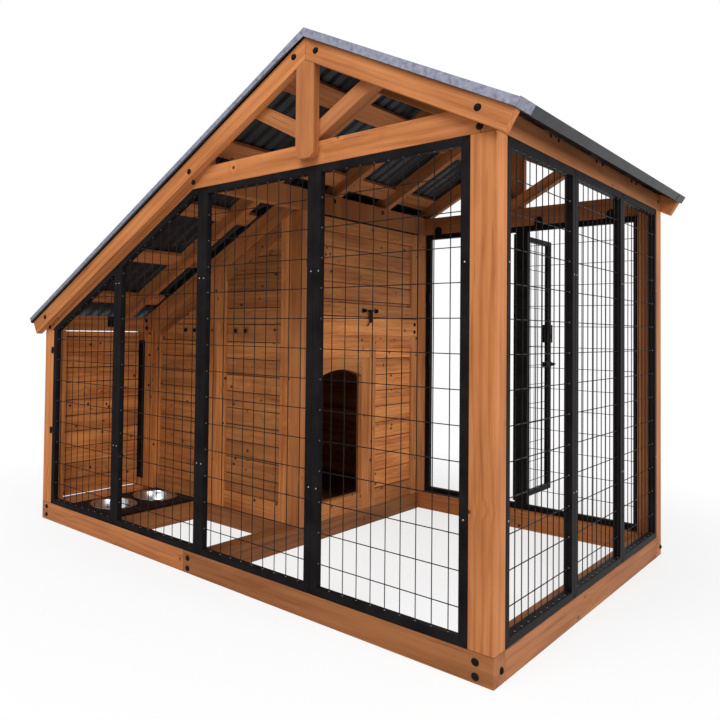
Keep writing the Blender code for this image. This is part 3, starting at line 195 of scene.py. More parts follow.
def fir(name, early, late, knot, contrast, knots_per_metre, knot_radius):
    """Planed and stained fir: soft bands, fine pores and knots in each board's own space."""
    material, tree, shader = new_material(name, 0.6, gloss=0.3)
    grain = add(tree, "ShaderNodeAttribute", attribute_name="grain").outputs["Vector"]
    tone = add(tree, "ShaderNodeAttribute", attribute_name="tone").outputs["Fac"]

    def fibres(along, across, detail):
        """Noise drawn out along the fibres, with its cells counted per metre."""
        stretched = vectors(tree, "MULTIPLY", grain, (along, across, across))
        return noise(tree, stretched, 1.0, detail)

    slow = vectors(tree, "MULTIPLY", grain, (0.16, 1, 1))
    drift = noise(tree, slow, 7.0, 2.0, "Color")
    sway = vectors(tree, "MULTIPLY_ADD", drift, (0, 0.05, 0.05), grain)
    radius = vectors(tree, "LENGTH", vectors(tree, "MULTIPLY", sway, (0, 1, 1)))
    knots = add(tree, "ShaderNodeTexVoronoi", {"Vector": grain, "Scale": knots_per_metre})
    away, core = knots.outputs["Distance"], knot_radius * knots_per_metre
    swirl = mapped(tree, away, core, core * 4, 0.012, 0.0)
    turns = maths(tree, "MULTIPLY", maths(tree, "ADD", radius, swirl), 1 / RING_WIDTH)
    band = add(tree, "ShaderNodeFloatCurve", {"Value": maths(tree, "FRACT", turns)})
    curve = band.mapping.curves[0]
    for place, height in ((0.55, 0.25), (0.86, 1.0)):
        curve.points.new(place, height)
    curve.points[-1].location = (1.0, 0.0)

    mixed = maths(tree, "MULTIPLY", band.outputs[0], contrast)
    pores, streaks = fibres(7, 420, 3.0), fibres(1.6, 66, 2.0)
    for layer, weight in ((pores, 0.32), (streaks, 0.34), (noise(tree, slow, 14.0, 4.0), 0.7)):
        mixed = maths(tree, "MULTIPLY_ADD", layer, weight, mixed)
    level = mapped(tree, mixed, 0.55, 0.87 + contrast, 0.0, 1.0)
    lift = mapped(tree, tone, 0.0, 1.0, 0.76, 1.12, clamp=False)
    toned = vectors(tree, "MULTIPLY", ramp(tree, level, (0.0, early), (1.0, late)), lift)
    checks = mapped(tree, fibres(3.2, 170, 1.0), 0.705, 0.76, 0.0, 0.55)
    soft = {"interpolation_type": "SMOOTHSTEP"}
    spots = mapped(tree, away, core * 0.55, core * 1.15, 1.0, 0.0, **soft)
    dark = maths(tree, "MAXIMUM", spots, checks)
    colour = add(tree, "ShaderNodeMix", {0: dark, 6: toned, 7: linear(knot)}, data_type="RGBA")
    gloss = mapped(tree, mixed, 0.0, 1.0, 0.52, 0.70)
    surface(tree, shader, colour.outputs[2], gloss, mixed, 0.35, 0.0006)
    return material


FRAME_FIR = fir("stained_fir_frame", "C67F49", "93501F", "44200E", 0.10, 8.0, 0.0085)
CABIN_FIR = fir("stained_fir_planks", "CB8448", "87451B", "33170A", 0.07, 14.0, 0.0090)
print("materials:", FRAME_FIR.name, CABIN_FIR.name)

# %% [markdown]
# ## Metals
# The panel tubes, wires and ironmongery are mild steel with a black powder coat, which melts
# to a satin skin with a faint orange peel of about 1.5 mm. The weld beads are a light grey
# steel, partly bare metal and partly a painted highlight that stands in for their glints. The
# roof is folded from steel sheet with a baked charcoal paint over zinc, and its trims show the
# mottled zinc. The screws are bright zinc plate. The bowls are stainless steel, spun on a
# former and lightly polished.

# %% Metal materials
def mottled(name, hexes, roughness, metallic, scale, peel, depth, shine=0.5):
    """A skin of metal or paint whose tone wanders, with a fine bump of a given size."""
    material, tree, shader = new_material(name, roughness, metallic, shine)
    place = add(tree, "ShaderNodeTexCoord").outputs["Object"]
    patch = noise(tree, place, scale, 4.0)
    stops = [(0.32 + 0.36 * i / (len(hexes) - 1), colour) for i, colour in enumerate(hexes)]
    colour = ramp(tree, patch, *stops)
    gloss = mapped(tree, patch, 0.0, 1.0, roughness - 0.07, roughness + 0.07)
    surface(tree, shader, colour, gloss, noise(tree, place, 1 / peel, 2.0), 0.3, depth)
    return material


BLACK, DARK_BLACK = ("151314", "201D1E"), ("0F0D0C", "1B1816")
CHARCOAL, DULL_ZINC = ("17181B", "242529", "1D1E21"), ("686A78", "7F8191", "8A8C9C")
BRIGHT_ZINC, WELD_HIGHLIGHT_GREYS, POLISHED = ("77777B", "A4A5AA"), ("54555A", "7E7F86"), ("B9BCC0", "D2D4D7")
COAT = mottled("black_powder_coat_steel", BLACK, 0.42, 0.0, 14.0, 0.0015, 0.0002, 0.02)
WIRE_COAT = mottled("black_coated_welded_wire", DARK_BLACK, 0.38, 0.0, 60.0, 0.001, 0.0001, 0.10)
ROOF_PAINT = mottled("charcoal_painted_steel_sheet", CHARCOAL, 0.46, 0.1, 9.0, 0.002, 0.0003, 0.3)
ZINC_TRIM = mottled("mottled_zinc_trim", DULL_ZINC, 0.5, 0.3, 70.0, 0.003, 0.0002, 0.3)
ZINC_SCREW = mottled("bright_zinc_plate", BRIGHT_ZINC, 0.22, 1.0, 400.0, 0.001, 0.0001)
# A light grey steel for the weld beads: partly bare metal, partly a painted highlight for their
# glints.
WELD_BEAD_HIGHLIGHT = mottled("bare_weld_with_painted_highlight", WELD_HIGHLIGHT_GREYS, 0.35, 0.5, 300.0, 0.001, 0.0001)
STAINLESS = mottled("spun_stainless_steel", POLISHED, 0.24, 1.0, 30.0, 0.0012, 0.0001)
print("metals:", COAT.name, ROOF_PAINT.name, ZINC_TRIM.name)

# %% [markdown]
# ## Boards
# Every board is a sawn length with its edges eased by a plane, so that light catches a narrow
# line along each arris. A board is drawn as a flat outline, drawn out over its thickness, and
# its sharp edges are bevelled. Then it is put on the pile of its piece with its own grain
# space: the fibre direction, and a pith at a random distance, as if sawn from its own tree.
# Each board also has a tone, from 0 for a dark stain to 1 for a light one, and some go past.
# Several tones also paint shade or light onto pieces that stand in shade or in the light, as
# noted where they are set.

# %% The board helpers
SHARP = math.radians(20)
ARRIS = 0.0022


def point_at(axis, u, v, w):
    """A point from two coordinates in the plane square to an axis and one along it."""
    return {"X": (w, u, v), "Y": (u, w, v), "Z": (u, v, w)}[axis]


def prism(outline, axis, span):
    """A closed solid: an outline drawn out along an axis."""
    shape = bmesh.new()
    ends = [[shape.verts.new(point_at(axis, u, v, w)) for u, v in outline] for w in span]
    shape.faces.new(ends[0])
    shape.faces.new(ends[1][::-1])
    for i in range(len(outline)):
        j = (i + 1) % len(outline)
        shape.faces.new((ends[0][i], ends[1][i], ends[1][j], ends[0][j]))
    bmesh.ops.recalc_face_normals(shape, faces=shape.faces)
    return shape


def ease(shape, width, steps=2):
    """Rounds the sharp edges of a shape."""
    edges = [e for e in shape.edges if len(e.link_faces) == 2 and e.calc_face_angle(0) > SHARP]
    looks = {"segments": steps, "profile": 0.6, "affect": "EDGES", "clamp_overlap": True}
    bmesh.ops.bevel(shape, geom=edges, offset=width, **looks)
    return shape


def new_pile():
    """An empty mesh in the making, with the layers that the wood reads."""
    pile = bmesh.new()
    pile.loops.layers.float_vector.new("grain")
    pile.loops.layers.float.new("tone")
    return pile


def grain_space(shape, along, square_to):
    """A board's own space: along the fibres, and across them from the pith of its tree."""
    fibre = Vector(along).normalized()
    across = fibre.cross(square_to).normalized()
    rows = Matrix((fibre, across, fibre.cross(across))).to_4x4()
    middle = sum((v.co for v in shape.verts), Vector()) / len(shape.verts)
    turn, distance = luck.uniform(0, math.tau), luck.uniform(0.05, 0.16)
    offset = Vector((luck.uniform(0, 60), distance * math.cos(turn), distance * math.sin(turn)))
    return Matrix.Translation(offset) @ rows @ Matrix.Translation(-middle)


def put(pile, shape, space=None, tone=0.5, smooth=False):
    """Adds a finished shape to the pile of its piece."""
    grain, shade = pile.loops.layers.float_vector["grain"], pile.loops.layers.float["tone"]
    made = {v: pile.verts.new(v.co) for v in shape.verts}
    for face in shape.faces:
        new = pile.faces.new([made[v] for v in face.verts])
        new.smooth = smooth
        for loop in new.loops:
            loop[shade] = tone
            loop[grain] = space @ loop.vert.co if space else loop.vert.co
    shape.free()


def board(pile, outline, axis, span, along, edge=ARRIS, tone=None):
    """A board with eased edges, its fibres along a direction."""
    shape = prism(outline, axis, span)
    space = grain_space(shape, along, AXES[axis])
    put(pile, ease(shape, edge), space, luck.random() if tone is None else tone)


def bar(pile, outline, axis, span, edge=0.0006, steps=1):
    """A steel part drawn out along an axis, with softened edges."""
    put(pile, ease(prism(outline, axis, span), edge, steps))


def new_object(name, data):
    """An object in the scene, at the origin."""
    made = bpy.data.objects.new(name, data)
    bpy.context.scene.collection.objects.link(made)
    return made


def object_of(name, pile):
    """An object with the shapes of a pile."""
    mesh = bpy.data.meshes.new(name)
    pile.to_mesh(mesh)
    pile.free()
    return new_object(name, mesh)


TRUSS_SLOT = "bright_softwood"


def finish_piece(name, pile, material, *nodes, body="kennel", slot=None):
    """Moves the pile to its place and makes it a piece that rides on a body."""
    pile.transform(Matrix.Translation(CORNER))
    obj = object_of(name, pile)
    obj.data.materials.append(material)
    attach(obj, body)
    if nodes:
        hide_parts(*nodes)


def finish_timber(pile, node, slot=None):
    finish_piece(f"timber_{node}", pile, FRAME_FIR, node, slot=slot)


# %% [markdown]
# ## Straight timber
# Sills, posts and headers are single lengths, so a board as large as the node is all that they
# need. Fibres run along the longest side. The sills have the widest eased edges, because they
# are planed square stock of 75 by 87 mm. The tones follow the timbers as they look on the
# kennel, and the ones below 0 are painted shade: the low sills, the sills under the cabin, the
# rear tie under the roof and the high header under the eave are darkened where shade falls.

# %% Sills, posts and headers
STRAIGHT = [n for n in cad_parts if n.startswith(("sill_", "post_"))]
STRAIGHT += ["header_low", "header_high", "tie_beam_rear"]
# Tones per piece; the values below 0 are painted shade on pieces that stand low or under the roof.
PIECE_TONES_AND_PAINTED_SHADE = {
    "post_front_left": 1.3,
    "post_rear_right": 0.6,
    "sill_front_right": -0.35,
    "sill_right_end": -0.1,
    "sill_cabin_front": -0.6,
    "sill_cabin_side": -0.7,
    "sill_bowl_bay": -0.4,
    "tie_beam_rear": -0.3,
    "king_post_front": 0.2,
    "header_high": -0.4,
    "brace_front_right": 0.0,
    "brace_front_left": 0.1,
    "rafter_front_right": 0.6,
    "rafter_front_left": 0.7,
    "tie_beam_front": 0.75,
}
for node in sorted(STRAIGHT):
    x, y, z = spans(node)
    sizes = [high - low for low, high in (x, y, z)]
    along, axis = (X, Y, Z)[sizes.index(max(sizes))], "XYZ"[sizes.index(min(sizes))]
    outline, span = {"X": (box(y, z), x), "Y": (box(x, z), y), "Z": (box(x, y), z)}[axis]
    pile = new_pile()
    board(pile, outline, axis, span, along, 0.003, PIECE_TONES_AND_PAINTED_SHADE.get(node, luck.uniform(0.35, 0.75)))
    finish_timber(pile, node, TRUSS_SLOT if node.startswith("tie") else None)
print("straight lengths:", len(STRAIGHT))

# %% [markdown]
# ## Shaped timber
# Rafters, ties, braces and king posts are cut to angles. Their solids already have the right
# outline, so a copy of the node is taken: its loose triangles are merged, flat faces are
# joined, edges are eased, and the grain is laid along the member. The rear braces are one
# solid, so it is first split over the king post, and each half gets its own direction.

# %% Rafters, ties, braces and king posts
BRACE_RISE = math.radians(30)
DOWN_HIGH, DOWN_LOW = Vector((COS, 0, -SIN)), Vector((COS, 0, SIN))
BRACE_LEFT = Vector((-math.cos(BRACE_RISE), 0, math.sin(BRACE_RISE)))
BRACE_RIGHT = Vector((-BRACE_LEFT.x, 0, BRACE_LEFT.z))
SHAPED = {
    "rafter_front_left": DOWN_LOW,
    "rafter_front_right": DOWN_HIGH,
    "rafter_rear_left": DOWN_LOW,
    "rafter_rear_right": DOWN_HIGH,
    "rafter_front_backing": DOWN_LOW,
    "king_post_front": Z,
    "king_post_rear": Z,
    "brace_front_left": BRACE_LEFT,
    "brace_front_right": BRACE_RIGHT,
    "tie_beam_front": X,
    "cabin_wall_plate": DOWN_LOW,
}


def copy_of(node):
    """The node's solid, welded and with its flat faces joined, measured from the corner."""
    shape = bmesh.new()
    shape.from_mesh(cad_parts[node].data)
    shape.transform(Matrix.Translation(-CORNER))
    bmesh.ops.remove_doubles(shape, verts=shape.verts, dist=0.00005)
    flat = {"angle_limit": math.radians(1), "verts": shape.verts, "edges": shape.edges}
    bmesh.ops.dissolve_limit(shape, **flat)
    return shape


def dress(pile, shape, along, tone=None):
    """Eases a copied member and lays its grain."""
    space = grain_space(shape, along, Y)
    put(pile, ease(shape, ARRIS), space, luck.uniform(0.4, 0.8) if tone is None else tone)


for node, along in SHAPED.items():
    pile = new_pile()
    dress(pile, copy_of(node), along, PIECE_TONES_AND_PAINTED_SHADE.get(node))
    finish_timber(pile, node, None if node == "cabin_wall_plate" else TRUSS_SLOT)

pile = new_pile()
for side, along in ((-1, BRACE_LEFT), (1, BRACE_RIGHT)):
    half = copy_of("brace_pair_rear")
    cut = bmesh.ops.bisect_plane(
        half,
        geom=half.verts[:] + half.edges[:] + half.faces[:],
        plane_co=(RIDGE_X + side * GAP, 0, 0),
        plane_no=(-side, 0, 0),
        clear_outer=True,
    )
    rim = [e for e in cut["geom_cut"] if isinstance(e, bmesh.types.BMEdge)]
    bmesh.ops.contextual_create(half, geom=rim)
    bmesh.ops.recalc_face_normals(half, faces=half.faces)
    dress(pile, half, along)
finish_piece("timber_braces_rear", pile, FRAME_FIR, "brace_pair_rear", slot=TRUSS_SLOT)
print("shaped lengths:", len(SHAPED) + 2)

# %% [markdown]
# ## Inner rafters
# Between the gables stand three pairs of rafters, held apart by short noggings. In the packed
# model each pair and its noggings, set on edge, are one solid. Here they are separate lengths
# with their own grain, and the noggings lie flat under the sheet, where the photograph has them.

# %% Inner rafters and noggings
RAFTER_DROP = 0.068 / COS
RAFTER_START, RAFTER_END = 0.0753, LENGTH - 0.0463
RAFTER_PITCH, RAFTER_HALF = 0.447, 0.02
NOGGING = {"first": 0.122, "pitch": 0.380, "last": 0.068}
NOGGING |= {"wide": 0.086, "thick": 0.019, "drop": 0.002}
GABLE_BACK = DEPTH - 0.0453
TIE_BACK = spans("tie_beam_front")[1][1]
PLATE_Y = spans("cabin_wall_plate")[1]
MIDDLE_HEADER = spans("header_middle")


def noggings(pile, side, run_span, cabin_span):
    """A row of noggings down one slope, with one span over the run and one over the cabin."""
    run = abs((RAFTER_END if side > 0 else RAFTER_START) - RIDGE_X) / COS
    room = run - NOGGING["first"] - NOGGING["last"]
    for index in range(int(room / NOGGING["pitch"]) + 1):
        station = NOGGING["first"] + index * NOGGING["pitch"]
        far = station + NOGGING["wide"]
        over_cabin = side < 0 and RIDGE_X - far * COS < MIDDLE_HEADER[0][0]
        span = cabin_span if over_cabin else run_span
        if span is None:
            continue
        rise = (-NOGGING["drop"] - NOGGING["thick"], -NOGGING["drop"])
        shape = prism(laid(side, (station, far), rise), "Y", span)
        space = grain_space(shape, Y, X)
        put(pile, ease(shape, 0.0015), space, luck.uniform(0.2, 0.7))


middles = [DEPTH / 2 + k * RAFTER_PITCH for k in (-1, 0, 1)]
rafter_faces = [(middle - RAFTER_HALF, middle + RAFTER_HALF) for middle in middles]
before = TIE_BACK
for number, faces in enumerate(rafter_faces, 1):
    pile = new_pile()
    for side, end, along in ((-1, RAFTER_START, DOWN_LOW), (1, RAFTER_END, DOWN_HIGH)):
        foot = RIDGE_X + side * GAP
        outline = sloped(foot, end, RAFTER_DROP)
        board(pile, outline, "Y", faces, along, tone=luck.uniform(0.0, 0.35))
    start = PLATE_Y[1] if before < PLATE_Y[0] < faces[0] else before
    plate_behind = faces[1] < PLATE_Y[0] < faces[1] + RAFTER_PITCH - 2 * RAFTER_HALF
    for side in (-1, 1):
        noggings(pile, side, (before + GAP, faces[0] - GAP), (start + GAP, faces[0] - GAP))
        if number == 3:
            noggings(pile, side, *[(faces[1] + GAP, GABLE_BACK)] * 2)
        elif plate_behind:
            noggings(pile, side, None, (faces[1] + GAP, PLATE_Y[0] - GAP))
    before = faces[1]
    finish_timber(pile, f"rafter_inner_{number}")
print("inner rafter pairs:", len(rafter_faces))

# %% [markdown]
# ## Cabin walls
# Each wall is a frame of stiles and rails with horizontal boards set back in its fields, with
# a narrow gap at each joint over a tongue darkened as painted shade. The boards are 82 mm wide.
# Instances on a line could lay them, but several fields are cut off by the roof slope, so each
# board is cut from the outline of its field instead, and it gets the slope for free.

# %% Cutting an outline into planks
# The tongue behind each joint gets a tone far below any board: painted shade in the joint.
JOINT, TONGUE, TONGUE_PAINTED_SHADE = 0.0042, 0.0035, -1.5
COURSE = 0.0822


def clip(outline, index, value, keep_above):
    """The part of an outline above or below a line square to one of its two axes."""
    kept = []
    for start, end in zip(outline, outline[1:] + outline[:1]):
        inside = (start[index] >= value) == keep_above
        other = (end[index] >= value) == keep_above
        if inside:
            kept.append(start)
        if inside != other:
            t = (value - start[index]) / (end[index] - start[index])
            kept.append(tuple(a + (b - a) * t for a, b in zip(start, end)))
    return kept


def planks(pile, field, axis, span, joints, along, tone=(0.25, 0.8)):
    """Horizontal boards that fill a field, with a shadow line at each joint over a tongue darkened
    as painted shade.
    """
    heights = [v for _, v in field]
    foot, top = min(heights), max(heights)
    edges = [foot] + [z for z in joints if foot + 0.01 < z < top - 0.01] + [top]
    middle = (span[0] + span[1]) / 2
    board(pile, field, axis, (middle - TONGUE, middle + TONGUE), along, 0.0005, TONGUE_PAINTED_SHADE)
    for low, high in zip(edges, edges[1:]):
        strip = clip(clip(field, 1, low + JOINT / 2, True), 1, high - JOINT / 2, False)
        if len(strip) > 2:
            board(pile, strip, axis, span, along, 0.0016, luck.uniform(*tone))


def courses(first, pitch, count):
    return [first + pitch * i for i in range(count)]


# %% [markdown]
# The front wall follows the slope: a stud at the low end, two framed fields side by side, and
# a top rail under the wall plate. The board joints are the ones seen through the mesh.

# %% Cabin front wall
x, y, z = spans("cabin_front_wall")
WALL_FRONT, FIELD_DEPTH, STILE, MEETING = y[0], 0.010, 0.066, 0.626
TOP_DROP = 0.138 + 2 * GAP
RAIL_DROP = TOP_DROP + 0.067
LOW_RAIL_TOP = z[0] + 0.084
FRONT_JOINTS = [0.2605, 0.3425, 0.4245, 0.5044, 0.5845, 0.6669, 0.749, 0.83, 0.9142, 1.0004]
FRONT_JOINTS += [1.0808, 1.1619, 1.2475, 1.3289, 1.411]
pile = new_pile()


def under_slope(low, high, foot, drop):
    """An upright strip whose top is cut to the slope."""
    return [(low, foot), (high, foot), (high, slope_at(high, drop)), (low, slope_at(low, drop))]


edges = (x[0], x[0] + 0.05, x[0] + 0.05 + STILE, MEETING - STILE, MEETING, MEETING + STILE)
edges += (x[1] - STILE, x[1])
for first in (0, 1, 3, 4, 6):
    outline = under_slope(edges[first], edges[first + 1] - GAP, z[0], TOP_DROP)
    board(pile, outline, "Y", y, Z, tone=luck.uniform(0.9, 1.4))
for first, tones in ((2, (0.4, 1.0)), (5, (-0.2, 0.6))):
    low, high = edges[first], edges[first + 1] - GAP
    board(pile, box((low, high), (z[0], LOW_RAIL_TOP)), "Y", y, X)
    board(pile, sloped(low, high, RAIL_DROP, TOP_DROP), "Y", y, DOWN_LOW)
    field = under_slope(low, high, LOW_RAIL_TOP + GAP, RAIL_DROP + GAP)
    planks(pile, field, "Y", (y[0] + FIELD_DEPTH, y[1]), FRONT_JOINTS, X, tones)
finish_piece("cabin_front_boards", pile, CABIN_FIR, "cabin_front_wall")

# %% [markdown]
# The side wall has the arched doorway. Round it stand two jambs, a board with the low arch cut
# into its lower edge, and a board and a full rail above. Right of it is a framed field.

# %% Cabin side wall
x, y, z = spans("cabin_side_wall")
FACE = x[1]
DOORWAY, SPRING, CROWN, THRESHOLD = (0.739, 1.105), 0.751, 0.789, 0.171
ARCH_TOP, RAIL_FOOT, FIELD_TOP = 0.842, 0.955, 0.892
JAMB_EDGE, SIDE_FIELD = 1.1714, (1.2323, 1.5942)
SIDE_JOINTS = [0.2591, 0.3414, 0.4237, 0.506, 0.5884, 0.6701, 0.7534, 0.8362]
pile = new_pile()


def arch():
    """The lower edge of the arch board, from left to right."""
    half, rise = (DOORWAY[1] - DOORWAY[0]) / 2, CROWN - SPRING
    radius = (half**2 + rise**2) / (2 * rise)
    opening = math.asin(half / radius)
    angles = [opening * (1 - 2 * i / 16) for i in range(17)][::-1]
    middle, centre = sum(DOORWAY) / 2, CROWN - radius
    return [(middle + radius * math.sin(a), centre + radius * math.cos(a)) for a in angles]


uprights = [(y[0], DOORWAY[0], ARCH_TOP), (DOORWAY[1], JAMB_EDGE, ARCH_TOP)]
uprights += [(JAMB_EDGE + GAP, 1.232, RAIL_FOOT), (1.5945, y[1], RAIL_FOOT)]
for low, high, top in uprights:
    board(pile, box((low, high), (z[0], top - GAP)), "X", x, Z, tone=luck.uniform(0.9, 1.4))
outline = [(DOORWAY[0], ARCH_TOP - GAP)] + arch() + [(DOORWAY[1], ARCH_TOP - GAP)]
board(pile, outline, "X", x, Y)
# The rail and the boards round it are lifted to tones of 1.6 to 1.9, partly a lighter board tone
# and partly painted light from the low light on the right, which reaches this wall below the eave.
lying = [((y[0], JAMB_EDGE), (ARCH_TOP, RAIL_FOOT - GAP), 1.6), (y, (RAIL_FOOT, z[1]), 1.8)]
lying += [((DOORWAY[0] + GAP, DOORWAY[1] - GAP), (z[0], THRESHOLD), None)]
lying += [(SIDE_FIELD, (z[0], THRESHOLD), None), (SIDE_FIELD, (FIELD_TOP, RAIL_FOOT - GAP), 1.9)]
for across, heights, tone in lying:
    board(pile, box(across, heights), "X", x, Y, tone=tone)
# The field's planks are lifted to 1.9 to 2.5, partly a lighter board tone and partly painted light
# from the right.
field = box(SIDE_FIELD, (THRESHOLD + GAP, FIELD_TOP - GAP))
planks(pile, field, "X", (x[0], x[1] - FIELD_DEPTH), SIDE_JOINTS, Y, (1.9, 2.5))
finish_piece("cabin_side_boards", pile, CABIN_FIR, "cabin_side_wall")

# %% [markdown]
# The hatch over the middle rail lifts on a top hinge. Its frame and planks are boards again,
# and its steel rod, ears and hinge knuckles are coated steel in a piece of their own.

# %% Rods and small steel parts
def rod(pile, start, end, radius, sides=12):
    """A round rod between two points, with closed ends."""
    start, run = Vector(start), Vector(end) - Vector(start)
    place = Matrix.Translation(start + run / 2) @ run.to_track_quat("Z", "Y").to_matrix().to_4x4()
    shape = bmesh.new()
    sizes = {"segments": sides, "radius1": radius, "radius2": radius, "depth": run.length}
    bmesh.ops.create_cone(shape, cap_ends=True, matrix=place, **sizes)
    put(pile, ease(shape, radius * 0.25, 1), smooth=True)


def plate(pile, x, y, z, edge=0.0006):
    """A small flat steel part with softened edges."""
    bar(pile, box(x, y), "Z", z, edge)


# %% Cabin hatch
x, y, z = spans("cabin_hatch")
HATCH_STILE, HATCH_FOOT, HATCH_HEAD = 0.057, 0.062, 0.066
HATCH_JOINTS = [1.128, 1.2115, 1.295, 1.3785]
hatch_y = (0.671, DEPTH - 0.117)
hinge_z = z[1] - 0.0035
hatch_z = (z[0], hinge_z - 0.0045)
hatch_x = (FACE - 0.030, FACE)
pile = new_pile()
inner_y = (hatch_y[0] + HATCH_STILE, hatch_y[1] - HATCH_STILE)
for low, high in ((hatch_y[0], inner_y[0]), (inner_y[1], hatch_y[1])):
    board(pile, box((low, high), hatch_z), "X", hatch_x, Z, tone=0.4)
field_y = (inner_y[0] + GAP, inner_y[1] - GAP)
field_z = (hatch_z[0] + HATCH_FOOT, hatch_z[1] - HATCH_HEAD)
for heights in ((hatch_z[0], field_z[0]), (field_z[1], hatch_z[1])):
    board(pile, box(field_y, heights), "X", hatch_x, Y, tone=0.7)
field = box(field_y, (field_z[0] + GAP, field_z[1] - GAP))
planks(pile, field, "X", (hatch_x[0], FACE - FIELD_DEPTH), HATCH_JOINTS, Y, (0.35, 0.85))
finish_piece("hatch_boards", pile, CABIN_FIR, "cabin_hatch", body="hatch")

# %% Hatch hinge and the rod of the hasp
HASP_Y, ROD_Z, KNUCKLE = 1.165, 1.080, 0.0034


def about(middle, half):
    return middle - half, middle + half


hinge_y = sum(hatch_y) / 2
half_hinge = (hatch_y[1] - hatch_y[0]) / 2 - 0.004
leaf = about(hinge_y, half_hinge - 0.0604)
pile = new_pile()
for side in (-1, 1):
    ear = sorted((HASP_Y + side * 0.060, HASP_Y + side * 0.051))
    plate(pile, (FACE - 0.003, FACE + 0.018), ear, about(ROD_Z, 0.009), 0.0015)
    foot = sorted((HASP_Y + side * 0.067, HASP_Y + side * 0.051))
    plate(pile, (FACE - 0.001, FACE + 0.0015), foot, about(ROD_Z, 0.011))
rod(pile, *[(FACE + 0.012, end, ROD_Z) for end in about(HASP_Y, 0.057)], 0.003)
rod(pile, *[(FACE, end, hinge_z) for end in leaf], KNUCKLE)
leaf = (leaf[0] + 0.001, leaf[1] - 0.001)
plate(pile, (FACE - 0.0031, FACE - 0.0002), leaf, (hinge_z - 0.008, hinge_z))
finish_piece("hatch_ironwork", pile, COAT, body="hatch")

# %% [markdown]
# The middle header carries the hatch. It is a plain board with a sloping top, and the two
# outer knuckles of the hinge hang from its lower face.

# %% Middle header with the hatch's fixed knuckles
x, y, z = MIDDLE_HEADER
header_low = spans("post_cabin_corner")[2][1] + GAP
outline = [(x[0], header_low), (x[1], header_low), (x[1], z[1])]
outline += [(x[0], slope_at(x[0], RAFTER_DROP) - GAP)]
pile = new_pile()
board(pile, outline, "Y", y, Y, 0.003, 0.3)
finish_timber(pile, "header_middle")
pile = new_pile()
for side in (-1, 1):
    ends = [hinge_y + side * (half_hinge - short) for short in (0.0596, GAP)]
    rod(pile, *[(FACE, end, hinge_z) for end in ends], KNUCKLE)
    plate(pile, about(FACE, 0.003), sorted(ends), (hinge_z, header_low + 0.003))
finish_piece("hatch_hinge_ends", pile, COAT)
print("hatch hinge at", round(hinge_z, 4))

# %% [markdown]
# The floor, the back wall and the low end wall are planks as well. The back wall is seen from
# behind, where its boards run the whole width under the slope.

# %% Floor, back wall and low end
pile = new_pile()
x, y, z = spans("cabin_floor")
step = (y[1] - y[0]) / 9
for low in courses(y[0], step, 9):
    # The floor boards get tones far below 0: painted shade inside the closed cabin.
    board(pile, box(x, (low, low + step - JOINT)), "Z", z, X, 0.0015, luck.uniform(-1.3, -0.9))
finish_piece("cabin_floor_boards", pile, CABIN_FIR, "cabin_floor")
for wall, count, facing, along in (("back", 18, "Y", X), ("end", 10, "X", Y)):
    x, y, z = spans(f"cabin_{wall}_wall")
    field, span = (under_slope(*x, z[0], 0.006), y) if facing == "Y" else (box(y, z), x)
    pile = new_pile()
    planks(pile, field, facing, span, courses(z[0] + COURSE, COURSE, count), along)
    finish_piece(f"cabin_{wall}_boards", pile, CABIN_FIR, f"cabin_{wall}_wall")

# %% [markdown]
# The feeding door closes the low end in front of the cabin, over the bowls. It is a leaf of
# planks on a long steel hinge, which shows inside as a black strip at the cabin's corner.

# %% Feeding door
FEEDING_JOINTS = [0.1800, 0.2625, 0.3450, 0.4275, 0.5100, 0.5927, 0.6851, 0.7613, 0.8429, 0.9245]
x, y, z = spans("feeding_door")
_, fixed_y, fixed_z = spans("feeding_door_hinge")
leaf_y = (y[0], fixed_y[0] - 0.0023)
strap_z = (fixed_z[0] + 0.062, fixed_z[1] - 0.062)
hinge_x, axis_y = -0.0059, WALL_FRONT - 0.011 - GAP
pile = new_pile()
planks(pile, box(leaf_y, z), "X", (GAP, 0.0283), FEEDING_JOINTS, Y, (0.8, 1.5))
finish_piece("feeding_door_boards", pile, CABIN_FIR, "feeding_door", body="feeding_door")
pile = new_pile()
rod(pile, *[(hinge_x, axis_y, end) for end in strap_z], 0.0049)
plate(pile, (hinge_x + 0.003, 0.0018), (leaf_y[1] - 0.030, leaf_y[1]), strap_z)
plate(pile, (hinge_x, 0.0005), (leaf_y[1] - 0.012, axis_y + 0.001), strap_z)
finish_piece("feeding_door_strap", pile, COAT, body="feeding_door")
print("feeding door leaf", [round(v, 3) for v in (*leaf_y, *z)])

# %% [markdown]
# ## Mesh panels
# A panel is a frame of 27 mm square tube, mitred and welded at the corners, with a net of
# 3.3 mm wire on a pitch of about 51 by 103 mm welded inside it. The wires follow a rule, so
# Geometry Nodes make them: an edge for each wire goes in, and the tree sweeps a round section
# along it and puts a weld bead on each end. The beads are light grey steel, partly bare metal
# and partly a painted highlight for the glints that show as light dots along the frames, so a
# stored attribute picks them out for their own finish.

# %% The welded wire tree
WIRE, BEAD = 0.0033, 0.0034


def new_tree(name, *inputs):
    """A geometry tree with its mesh in and out, and named inputs."""
    tree = bpy.data.node_groups.new(name, "GeometryNodeTree")
    tree.interface.new_socket("Geometry", in_out="INPUT", socket_type="NodeSocketGeometry")
    for label, kind in inputs:
        tree.interface.new_socket(label, in_out="INPUT", socket_type=f"NodeSocket{kind}")
    tree.interface.new_socket("Geometry", in_out="OUTPUT", socket_type="NodeSocketGeometry")
    return tree, tree.nodes.new("NodeGroupInput").outputs


